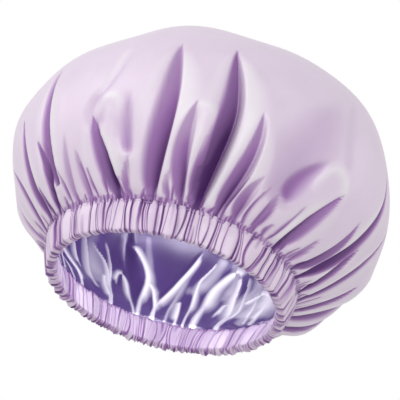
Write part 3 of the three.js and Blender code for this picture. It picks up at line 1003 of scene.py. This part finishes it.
def wall_offset(side, along):
    """Distance of a wall from the middle of the brim, at a length up from the folded edge."""
    rounded = FOLD_ROUNDING - min(along, FOLD_ROUNDING)
    edge = math.sqrt(max(FOLD_ROUNDING ** 2 - rounded ** 2, 0)) / FOLD_ROUNDING
    seam = smooth(0.6 * BAND_LENGTH, BAND_LENGTH, along)
    return edge * (POCKET[side] + (PINCH - POCKET[side]) * seam)


def on_band(degrees, up, out, base=BAND_RADIUS):
    """A place in the brim: an angle, a length up from the folded edge and a distance outwards."""
    radius = base + up * math.sin(BAND_FLARE) + out * math.cos(BAND_FLARE)
    return round_cap(degrees, radius, up * math.cos(BAND_FLARE) - out * math.sin(BAND_FLARE))


def casing_ring(side, step, sunk):
    """A ring of the casing on one wall, sunk below its face by the cloth's thickness."""
    angle, lift, _ = rib_rows[side][step]
    along = BAND_LENGTH * wall_level[step]
    near_edge = min(1, step / EDGE_STEPS)
    out = (wall_offset(side, along) + lift * near_edge - sunk * min(step, 1)) * (1 - 2 * side)
    valley = 1 - np.clip(lift / RIB_HEIGHT / VALLEY_SHARE, 0, 1)
    ring = on_band(angle, along, out)
    ring[:, 2] += EDGE_SCALLOP * valley * smooth(SCALLOP_LEVEL, 0, wall_level[step]) + sunk
    return ring


# %% Brim casing
CHANNEL_EVERY = 3
outside = [(0, k) for k in range(WALL_STEPS - 1, -1, -1)] + [(1, k) for k in range(1, WALL_STEPS)]
channel = [(1, k) for k in range(WALL_STEPS - 1, 0, -CHANNEL_EVERY)]
channel += [(0, k) for k in range(CHANNEL_EVERY, WALL_STEPS, CHANNEL_EVERY)]
casing_rings = [casing_ring(side, k, 0) for side, k in outside]
casing_rings += [casing_ring(side, k, SATIN_THICKNESS) for side, k in channel]
# the painted shade of every ring, stored on the brim's points
casing_painted_shade = [rib_rows[side][k][2] for side, k in outside + channel]
strip_across = np.array([(1 - 2 * side) * BAND_LENGTH * wall_level[k] for side, k in outside + channel])
strip_along = np.stack([rib_rows[side][k][0] / degrees_per_metre for side, k in outside + channel])
strip_map = np.stack([strip_along, strip_across[:, None] + 0 * strip_along], -1)
numbers = np.arange(len(casing_rings) * RIB_COUNT * RIB_COLUMNS).reshape(len(casing_rings), -1)
casing_faces = []
for k in range(len(numbers)):
    casing_faces += ring_faces(numbers[(k + 1) % len(numbers)], numbers[k])
brim_points = np.concatenate(casing_rings)
brim_painted_shade = np.concatenate(casing_painted_shade)
casing = new_piece("gathered_brim", brim_points, casing_faces, strip_map.reshape(-1, 2), fold=brim_painted_shade)
print(casing.name, len(casing.data.polygons), "faces")

# %% [markdown]
# ## Finishes
# Satin is a weave with long floats: it is smooth, so highlights run along it almost white, and the colour
# only shows deeply where light has bounced between the walls of a fold. Two effects are shared by several
# cloths and are built once, as node groups: the weave itself, and the painted light of the folds, a painted
# shade that deepens the colour inside folds and a painted highlight that pales it on ridges.

# %% Node helpers
def add(tree, kind, **values):
    """A node with its inputs set or linked, each by its name or, as _0 or _1, by its place."""
    made = tree.nodes.new(kind if "Node" in kind else "ShaderNode" + kind)
    for key, value in values.items():
        socket = made.inputs[int(key[1:])] if key[0] == "_" else made.inputs[key.replace("_", " ")]
        if isinstance(value, bpy.types.NodeSocket):
            tree.links.new(value, socket)
        else:
            socket.default_value = value
    return made


def math_node(tree, operation, first, second=0.0):
    """The result of one sum on two values or sockets."""
    made = add(tree, "Math", _0=first, _1=second)
    made.operation = operation
    return made.outputs[0]


def new_group(name, inputs, outputs):
    """A shader node group with named sockets; returns its tree, input node and output node."""
    tree = bpy.data.node_groups.new(name, "ShaderNodeTree")
    for label, kind, value in inputs:
        socket = tree.interface.new_socket(label, in_out="INPUT", socket_type="NodeSocket" + kind)
        socket.default_value = value
    for label, kind in outputs:
        tree.interface.new_socket(label, in_out="OUTPUT", socket_type="NodeSocket" + kind)
    return tree, tree.nodes.new("NodeGroupInput"), tree.nodes.new("NodeGroupOutput")


# %% Weave group
CLOUD_THREADS = 60.0
CLOUD_SHARE = 0.7
SLUB_SHARE = 0.3
YARN_SHARE = 0.25
weave, weave_in, weave_out = new_group(
    "weave",
    [("Thread Spacing", "Float", 0.0004), ("Float Length", "Float", 6.0)],
    [("Height", "Float"), ("Tone", "Float")],
)
cloth_place = add(weave, "SeparateXYZ", Vector=add(weave, "UVMap").outputs[0])
threads_u = math_node(weave, "DIVIDE", cloth_place.outputs[0], weave_in.outputs["Thread Spacing"])
threads_v = math_node(weave, "DIVIDE", cloth_place.outputs[1], weave_in.outputs["Thread Spacing"])
float_v = math_node(weave, "DIVIDE", threads_v, weave_in.outputs["Float Length"])
yarn = math_node(weave, "SINE", math_node(weave, "MULTIPLY", threads_u, 2 * math.pi))
slub_place = add(weave, "CombineXYZ", X=threads_u, Y=float_v)
slub = add(weave, "TexNoise", Vector=slub_place.outputs[0], Scale=1.0, Detail=2.0).outputs[0]
cloud_u = math_node(weave, "DIVIDE", threads_u, CLOUD_THREADS)
cloud_v = math_node(weave, "DIVIDE", threads_v, CLOUD_THREADS)
cloud_place = add(weave, "CombineXYZ", X=cloud_u, Y=cloud_v)
cloud = add(weave, "TexNoise", Vector=cloud_place.outputs[0], Scale=1.0, Detail=3.0).outputs[0]
yarn_height = math_node(weave, "MULTIPLY", yarn, YARN_SHARE)
weave.links.new(math_node(weave, "ADD", yarn_height, slub), weave_out.inputs["Height"])
cloud_tone = math_node(weave, "MULTIPLY", cloud, CLOUD_SHARE)
slub_tone = math_node(weave, "MULTIPLY", slub, SLUB_SHARE)
weave.links.new(math_node(weave, "ADD", cloud_tone, slub_tone), weave_out.inputs["Tone"])
print("group", weave.name)

# %% Painted fold light group
FULL_PAINTED_HIGHLIGHT = -0.5
PAINTED_HIGHLIGHT_SATURATION = 0.45
PAINTED_HIGHLIGHT_BRIGHTNESS = 1.07
UNEVENNESS = 0.07
painted_fold_light, fold_in, fold_out = new_group(
    "painted_fold_light",
    [
        ("Crest", "Color", (1, 1, 1, 1)),
        ("Wall", "Color", (0.5, 0.5, 0.5, 1)),
        ("Deep", "Color", (0.2, 0.2, 0.2, 1)),
        ("Tone", "Float", 0.5),
    ],
    [("Color", "Color")],
)
# the stored fold value is painted light: 0 is the crest, 0.5 the wall's painted shade, 1 the deepest painted
# shade, and below 0 a painted highlight that is paler and brighter
stored = add(painted_fold_light, "Attribute")
stored.attribute_name = "fold"


def fold_range(low, high, at_low, at_high):
    """A value that follows the stored fold value from one end of a range to the other."""
    ends = {"From_Min": low, "From_Max": high, "To_Min": at_low, "To_Max": at_high}
    return add(painted_fold_light, "MapRange", Value=stored.outputs["Fac"], **ends).outputs[0]


given = fold_in.outputs
crest_to_wall = fold_range(0, 0.5, 0, 1)
wall_to_deep = fold_range(0.5, 1, 0, 1)
shallow = add(painted_fold_light, "MixRGB", Fac=crest_to_wall, Color1=given["Crest"], Color2=given["Wall"])
painted_shade_colour = add(painted_fold_light, "MixRGB", Fac=wall_to_deep, Color1=shallow.outputs[0], Color2=given["Deep"])
highlight_saturation = fold_range(FULL_PAINTED_HIGHLIGHT, 0, PAINTED_HIGHLIGHT_SATURATION, 1)
highlight_brightness = fold_range(FULL_PAINTED_HIGHLIGHT, 0, PAINTED_HIGHLIGHT_BRIGHTNESS, 1)
uneven = add(painted_fold_light, "MapRange", Value=given["Tone"], To_Min=1 - UNEVENNESS, To_Max=1 + UNEVENNESS)
highlight_brightness = math_node(painted_fold_light, "MULTIPLY", uneven.outputs[0], highlight_brightness)
toned = add(painted_fold_light, "HueSaturation", Color=painted_shade_colour.outputs[0], Saturation=highlight_saturation, Value=highlight_brightness)
painted_fold_light.links.new(toned.outputs[0], fold_out.inputs["Color"])
print("group", painted_fold_light.name)


# %% Cloth materials
ROUGHNESS_CHANGE = 0.04
YARN_DEPTH = 0.1 * MM


def cloth_material(name, crest, wall, deep, roughness, spacing, relief):
    """A woven cloth: returns the material and its shader, for what only one cloth has."""
    material = bpy.data.materials.new(name)
    material.use_nodes = True
    tree = material.node_tree
    shader = tree.nodes["Principled BSDF"]
    threads = tree.nodes.new("ShaderNodeGroup")
    threads.node_tree = weave
    threads.inputs["Thread Spacing"].default_value = spacing
    colour = tree.nodes.new("ShaderNodeGroup")
    colour.node_tree = painted_fold_light
    # the stored fold value mixes crest, wall and deep: wall and deep are painted shade
    for label, value in (("Crest", crest), ("Wall", wall), ("Deep", deep)):
        colour.inputs[label].default_value = (*value, 1)
    tree.links.new(threads.outputs["Tone"], colour.inputs["Tone"])
    tree.links.new(colour.outputs["Color"], shader.inputs["Base Color"])
    rough = add(tree, "MapRange", Value=threads.outputs["Tone"])
    rough.inputs["To Min"].default_value = roughness - ROUGHNESS_CHANGE
    rough.inputs["To Max"].default_value = roughness + ROUGHNESS_CHANGE
    tree.links.new(rough.outputs[0], shader.inputs["Roughness"])
    yarns = add(tree, "Bump", Height=threads.outputs["Height"], Strength=relief, Distance=YARN_DEPTH)
    tree.links.new(yarns.outputs[0], shader.inputs["Normal"])
    return material, shader


# %% Satin, lining and film
# the wall and deep colours are the painted shade of folds and creases; the lining's near-white crest is the
# colour of its painted highlight
satin, satin_shader = cloth_material(
    "lavender_satin",
    crest=(0.80, 0.675, 0.82),
    wall=(0.37, 0.19, 0.46),
    deep=(0.09, 0.02, 0.155),
    roughness=0.42,
    spacing=0.35 * MM,
    relief=0.15,
)
satin_shader.inputs["Metallic"].default_value = 0.06
satin_shader.inputs["Sheen Weight"].default_value = 0.1
satin_shader.inputs["Specular IOR Level"].default_value = 0.4
lining_satin, lining_shader = cloth_material(
    "violet_lining",
    crest=(1.0, 0.99, 1.0),
    wall=(0.078, 0.043, 0.165),
    deep=(0.045, 0.022, 0.1),
    roughness=0.3,
    spacing=0.3 * MM,
    relief=0.1,
)
lining_shader.inputs["Metallic"].default_value = 0.1
film, _ = cloth_material(
    "clear_film",
    crest=(0.82, 0.83, 0.86),
    wall=(0.8, 0.8, 0.85),
    deep=(0.7, 0.7, 0.78),
    roughness=0.25,
    spacing=1.5 * MM,
    relief=0.05,
)
for piece, finish in ((shell, satin), (casing, satin), (lining, lining_satin), (membrane, film)):
    piece.data.materials.append(finish)
    print(piece.name, "in", finish.name)

# %% [markdown]
# ## The elastic
# Inside the brim runs a flat woven elastic. Its rubber threads lie side by side along the band, which gives
# it fine ribs lengthwise, and the weft crosses them. Its ends lap over each other by 16 mm at the back, so
# the strip follows a slow spiral, and a zigzag of thread joins the lapped ends.

# %% Elastic strip
ELASTIC_WIDTH = 15.0 * MM
ELASTIC_THICKNESS = 1.0 * MM
ELASTIC_LAP = 16.0 * MM
ELASTIC_LOW = 1.9 * MM
ELASTIC_STEP = 1.4 * MM
ELASTIC_SECTIONS = 300
ELASTIC_RIBS = 9
ELASTIC_RELIEF = 0.1
ELASTIC_INWARD = 1.4 * MM
BACK = 180
elastic_base = BAND_RADIUS - ELASTIC_INWARD
lap_degrees = ELASTIC_LAP * degrees_per_metre
spiral_degrees = np.linspace(0, 360 + lap_degrees, ELASTIC_SECTIONS)
levels = np.linspace(0, 1, 4 * ELASTIC_RIBS + 1)
ribbed = 0.5 - 0.5 * np.cos(2 * np.pi * levels * ELASTIC_RIBS)
outline_up = np.concatenate([levels, levels[::-1]]) * ELASTIC_WIDTH + ELASTIC_LOW
outer_line = 1 - ELASTIC_RELIEF + ELASTIC_RELIEF * ribbed
inner_line = ELASTIC_RELIEF * (1 - ribbed)
outline_out = ELASTIC_THICKNESS * np.concatenate([outer_line, inner_line[::-1]])
elastic_rings = []
for degrees in spiral_degrees:
    turned = BACK + degrees + 0 * outline_up
    spiral_out = outline_out + ELASTIC_STEP * degrees / 360
    elastic_rings.append(on_band(turned, outline_up, spiral_out, elastic_base))
print(len(elastic_rings), "sections of elastic")

# %% Elastic mesh
numbers = np.arange(ELASTIC_SECTIONS * len(outline_up)).reshape(ELASTIC_SECTIONS, -1)
elastic_faces = [list(numbers[0]), list(numbers[-1][::-1])]
for lower, upper in zip(numbers[:-1], numbers[1:]):
    elastic_faces += [face[::-1] for face in ring_faces(lower, upper)]
around = np.concatenate([levels * ELASTIC_WIDTH, 2 * ELASTIC_WIDTH - levels[::-1] * ELASTIC_WIDTH])
elastic_map = [np.stack([d / degrees_per_metre + 0 * around, around], -1) for d in spiral_degrees]
elastic_points = np.concatenate(elastic_rings)
elastic_map = np.concatenate(elastic_map)
elastic = new_piece("woven_elastic", elastic_points, elastic_faces, elastic_map, fold=np.zeros(numbers.size))

# %% [markdown]
# ## Sewing
# A lockstitch is a row of short threads, one pitch apart, each dipping into the cloth at both ends. Drawing
# each stitch by hand would hide that rule, so Geometry Nodes lay them: a path is cut into equal steps and one
# small spindle of thread is set on each step, along the path. The same tree sews every seam, with its own
# pitch and length of stitch.

# %% Stitch tree
stitch_tree = bpy.data.node_groups.new("stitches", "GeometryNodeTree")
STITCH_INPUTS = (
    ("Path", "Geometry"),
    ("Pitch", "Float"),
    ("Stitch Length", "Float"),
    ("Thread Radius", "Float"),
    ("Thread", "Material"),
)
stitch_input = {}
for label, kind in STITCH_INPUTS:
    socket = stitch_tree.interface.new_socket(label, in_out="INPUT", socket_type="NodeSocket" + kind)
    stitch_input[label] = socket.identifier
stitch_tree.interface.new_socket("Stitches", in_out="OUTPUT", socket_type="NodeSocketGeometry")
given = stitch_tree.nodes.new("NodeGroupInput").outputs
path = add(stitch_tree, "GeometryNodeMeshToCurve", _0=given["Path"])
cut = add(stitch_tree, "GeometryNodeResampleCurve", Curve=path.outputs[0])
cut.mode = "LENGTH"
stitch_tree.links.new(given["Pitch"], cut.inputs["Length"])
half_length = math_node(stitch_tree, "MULTIPLY", given["Stitch Length"], 0.5)
size = add(stitch_tree, "CombineXYZ", X=given["Thread Radius"], Y=given["Thread Radius"], Z=half_length)
ball = add(stitch_tree, "GeometryNodeMeshUVSphere", Segments=6, Rings=5, Radius=1.0)
stitch = add(stitch_tree, "GeometryNodeTransform", Geometry=ball.outputs["Mesh"], Scale=size.outputs[0])
tangent = add(stitch_tree, "GeometryNodeInputTangent")
turn = add(stitch_tree, "FunctionNodeAlignRotationToVector", Vector=tangent.outputs[0])
turn.axis = "Z"
lay = add(stitch_tree, "GeometryNodeInstanceOnPoints", Points=cut.outputs[0], Rotation=turn.outputs[0])
stitch_tree.links.new(stitch.outputs[0], lay.inputs["Instance"])
real = add(stitch_tree, "GeometryNodeRealizeInstances", _0=lay.outputs[0])
sewn = add(stitch_tree, "GeometryNodeSetMaterial", Geometry=real.outputs[0], Material=given["Thread"])
add(stitch_tree, "NodeGroupOutput", Stitches=sewn.outputs[0])
print("stitch tree with", len(stitch_tree.nodes), "nodes")

# %% Thread and elastic finishes
thread, thread_shader = cloth_material(
    "lavender_thread",
    crest=(0.62, 0.5, 0.68),
    wall=(0.4, 0.28, 0.5),
    deep=(0.2, 0.1, 0.26),
    roughness=0.5,
    spacing=0.12 * MM,
    relief=0.3,
)
thread_shader.inputs["Sheen Weight"].default_value = 0.3
rubber, rubber_shader = cloth_material(
    "white_elastic",
    crest=(0.84, 0.83, 0.81),
    wall=(0.7, 0.69, 0.68),
    deep=(0.5, 0.5, 0.5),
    roughness=0.7,
    spacing=0.8 * MM,
    relief=0.6,
)
rubber_shader.inputs["Sheen Weight"].default_value = 0.2
elastic.data.materials.append(rubber)
print(elastic.name, "in", rubber.name)

# %% Sewing along a path
THREAD_RADIUS = 0.2 * MM


def sew(name, path, closed, pitch, stitch_length):
    """Stitches along a path of points, as a plain mesh."""
    line = bpy.data.meshes.new(name + "_path")
    edges = [(k, k + 1) for k in range(len(path) - 1)]
    if closed:
        edges.append((len(path) - 1, 0))
    line.from_pydata(np.asarray(path).tolist(), edges, [])
    guide = bpy.data.objects.new(name + "_path", line)
    scene.collection.objects.link(guide)
    modifier = guide.modifiers.new("stitches", "NODES")
    modifier.node_group = stitch_tree
    modifier[stitch_input["Pitch"]] = pitch
    modifier[stitch_input["Stitch Length"]] = stitch_length
    modifier[stitch_input["Thread Radius"]] = THREAD_RADIUS
    modifier[stitch_input["Thread"]] = thread
    seen = guide.evaluated_get(bpy.context.evaluated_depsgraph_get())
    mesh = bpy.data.meshes.new_from_object(seen)
    mesh.name = name
    mesh.polygons.foreach_set("use_smooth", np.ones(len(mesh.polygons), bool))
    bpy.data.objects.remove(guide)
    seam = bpy.data.objects.new(name, mesh)
    scene.collection.objects.link(seam)
    print(name, len(mesh.polygons), "faces")
    return seam


# %% Seam between crown and brim
STITCH_PITCH = 2.7 * MM
STITCH_LENGTH = 2.3 * MM
SEAM_LEVEL = 0.915
THREAD_CLEAR = 0.05 * MM


def along_wall(side, step):
    """Points on the brim's wall, a little way off the cloth."""
    angle, lift, _ = rib_rows[side][step]
    up = BAND_LENGTH * wall_level[step]
    out = (wall_offset(side, up) + lift + THREAD_CLEAR) * (1 - 2 * side)
    return on_band(angle, up, out)


seam_step = int(abs(wall_level - SEAM_LEVEL).argmin())
needle = sew("needle_stitches", along_wall(0, seam_step), True, STITCH_PITCH, STITCH_LENGTH)
bobbin = sew("bobbin_stitches", along_wall(1, seam_step), True, STITCH_PITCH, STITCH_LENGTH)

# %% Join of the casing strip
JOIN_STEPS = (4, 24)
join_column = int(abs(turn_between(rib_rows[1][0][0], BACK)).argmin())
join_path = np.stack([along_wall(1, step)[join_column] for step in range(*JOIN_STEPS)])
join_seam = sew("join_stitches", join_path, False, STITCH_PITCH, STITCH_LENGTH)

# %% [markdown]
# The zigzag that joins the elastic's ends is one thread that runs back and forth across the lap.

# %% Zigzag on the elastic's lap
ZIGZAGS = 8
ZIGZAG_LENGTH = 10.0 * MM
ZIGZAG_WIDTH = 5.0 * MM
ZIGZAG_CLEAR = 0.15 * MM
ZIGZAG_PITCH = 1.2 * MM
ZIGZAG_STITCH = 1.7 * MM
PATH_STEPS = 4
corner = np.arange(2 * ZIGZAGS + 1)
corner_up = ELASTIC_LOW + ELASTIC_WIDTH / 2 + ZIGZAG_LENGTH * (corner / (2 * ZIGZAGS) - 0.5)
corner_degrees = BACK + (ELASTIC_LAP / 2 + ZIGZAG_WIDTH * (corner % 2 - 0.5)) * degrees_per_metre
zigzag_out = ELASTIC_STEP + ELASTIC_THICKNESS + ZIGZAG_CLEAR
corners = on_band(corner_degrees, corner_up, zigzag_out + 0 * corner, elastic_base)
strokes = [np.linspace(a, b, PATH_STEPS, endpoint=False) for a, b in zip(corners[:-1], corners[1:])]
zigzag_path = np.concatenate(strokes + [corners[-1:]])
bartack = sew("zigzag_stitches", zigzag_path, False, ZIGZAG_PITCH, ZIGZAG_STITCH)

# %% [markdown]
# ## What each piece stands for
# Every piece takes the place of one solid of the frame, which is hidden. The crown's layers are sewn to the
# brim, but here they take no body and keep their place; all else goes with the brim.

# %% Hidden solids and bodies
SHELL_DISC = 0.57
LINING_DISC = 0.54
for piece, node, slot, disc in (
    (shell, "outer_shell", "outer_satin", SHELL_DISC),
    (membrane, "waterproof_membrane", "film", SHELL_DISC),
    (lining, "inner_lining", "lining_satin", LINING_DISC),
):
    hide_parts(node)
    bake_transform(piece)
for piece, node, slot in (
    (casing, "brim_casing", "outer_satin"),
    (elastic, "elastic_band", "elastic"),
    (bartack, "elastic_bartack", "thread"),
    (needle, "seam_needle_thread", "thread"),
    (bobbin, "seam_bobbin_thread", "thread"),
    (join_seam, "casing_join_thread", "thread"),
):
    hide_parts(node)
    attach(piece, "brim")

# %% [markdown]
# ## Floor and light
# The cap stands on a pale floor. The photograph looks up at it from below, through where the floor is, so
# the floor only shows from above: its back is clear, and so is its rim, which fades into the white.

# %% Floor
FLOOR_RADIUS = 0.7
FLOOR_GAP = 0.3 * MM
FLOOR_POINTS = 96
FLOOR_SHARES = (0.35, 0.7, 1.0)
floor_turn = np.linspace(-180, 180, FLOOR_POINTS, endpoint=False)
floor_rings = [round_cap(floor_turn, FLOOR_RADIUS * share, -FLOOR_GAP) for share in FLOOR_SHARES]
numbers = np.arange(len(FLOOR_SHARES) * FLOOR_POINTS).reshape(len(FLOOR_SHARES), FLOOR_POINTS)
floor_faces = [list(numbers[0])]
for inner, outer in zip(numbers[:-1], numbers[1:]):
    floor_faces += [face[::-1] for face in ring_faces(inner, outer)]
floor = new_piece("floor", np.concatenate(floor_rings), floor_faces)
print(floor.name, len(floor_faces), "faces")

# %% Finish of the floor
FADE_FROM = 0.25
pale = bpy.data.materials.new("pale_floor")
pale.use_nodes = True
tree = pale.node_tree
floor_shader = tree.nodes["Principled BSDF"]
floor_shader.inputs["Base Color"].default_value = (0.95, 0.95, 0.955, 1)
floor_shader.inputs["Roughness"].default_value = 0.8
ray = add(tree, "LightPath")
from_middle = add(tree, "VectorMath", _0=add(tree, "TexCoord").outputs["Object"])
from_middle.operation = "LENGTH"
fade = add(tree, "MapRange", Value=from_middle.outputs["Value"], From_Min=FADE_FROM, From_Max=FLOOR_RADIUS)
fade.inputs["To Min"].default_value = 1.0
fade.inputs["To Max"].default_value = 0.0
front = math_node(tree, "SUBTRACT", 1.0, add(tree, "NewGeometry").outputs["Backfacing"])
shown = math_node(tree, "MULTIPLY", front, fade.outputs[0])
shown = math_node(tree, "MULTIPLY", shown, ray.outputs["Is Camera Ray"])
clear = add(tree, "BsdfTransparent")
mix = add(tree, "MixShader", Fac=shown, _1=clear.outputs[0], _2=floor_shader.outputs[0])
tree.links.new(mix.outputs[0], tree.nodes["Material Output"].inputs["Surface"])
floor.data.materials.append(pale)
print(floor.name, "in", pale.name)

# %% [markdown]
# Three soft, square lamps light the cap as in a plain studio: a key lamp on the left, one low in front, which
# reaches under the crown, and a weak one on the right. Thin cloth also lets some light through, which closed
# sheets would stop here. So two small lamps inside the crown stand for that light, and each lights one piece
# only, the lining or the brim. The world is white where it is seen or mirrored, and dimmer as a light.

# %% Lamps round the cap
LAMP_SIZE = 0.8
LAMP_AIM = Vector((0, 0, 0.09))


def area_light(name, azimuth, elevation, distance, watts):
    """A soft square lamp at an angle round the cap and above it, pointing at the cap's middle."""
    lamp = bpy.data.objects.new(name, bpy.data.lights.new(name, "AREA"))
    scene.collection.objects.link(lamp)
    a, e = math.radians(azimuth), math.radians(elevation)
    away = Vector((math.sin(a) * math.cos(e), -math.cos(a) * math.cos(e), math.sin(e)))
    turned = (-away).to_track_quat("-Z", "Y").to_matrix().to_4x4()
    lamp.matrix_world = Matrix.Translation(LAMP_AIM + away * distance) @ turned
    lamp.data.size = LAMP_SIZE
    lamp.data.energy = watts
    lamp.visible_camera = False


area_light("key", azimuth=-65, elevation=15, distance=1.1, watts=3.1)
area_light("front", azimuth=-5, elevation=-20, distance=1.2, watts=4.2)
area_light("side", azimuth=80, elevation=15, distance=1.1, watts=1.2)
print(len(bpy.data.lights), "lamps round the cap")

# %% Light through the cloth
INNER_HEIGHT = 0.12
INNER_RADIUS = 0.04
INNER_LAMPS = (
    ("through_lining", lining, "crown", 0.9),
    ("through_brim", casing, "brim", 0.48),
)
for name, piece, body, watts in INNER_LAMPS:
    inner_lamp = bpy.data.objects.new(name, bpy.data.lights.new(name, "POINT"))
    scene.collection.objects.link(inner_lamp)
    inner_lamp.location = (0, 0, INNER_HEIGHT)
    inner_lamp.data.shadow_soft_size = INNER_RADIUS
    inner_lamp.data.energy = watts
    inner_lamp.visible_camera = False
    inner_lamp.parent = frame["bodies"][body]
    receivers = bpy.data.collections.new(name)
    receivers.objects.link(piece)
    inner_lamp.light_linking.receiver_collection = receivers
    print(name, "lights only", piece.name)

# %% World
WORLD_LIGHT = 0.55
world = bpy.data.worlds.new("studio")
scene.world = world
world.use_nodes = True
tree = world.node_tree
tree.nodes.clear()
ray = add(tree, "LightPath")
seen = math_node(tree, "MAXIMUM", ray.outputs["Is Camera Ray"], ray.outputs["Is Glossy Ray"])
seen = math_node(tree, "MAXIMUM", seen, ray.outputs["Is Transmission Ray"])
strength = add(tree, "MapRange", Value=seen, To_Min=WORLD_LIGHT, To_Max=1.0)
background = add(tree, "Background", Color=(1, 1, 1, 1), Strength=strength.outputs[0])
add(tree, "OutputWorld", Surface=background.outputs[0])
print("world", world.name)
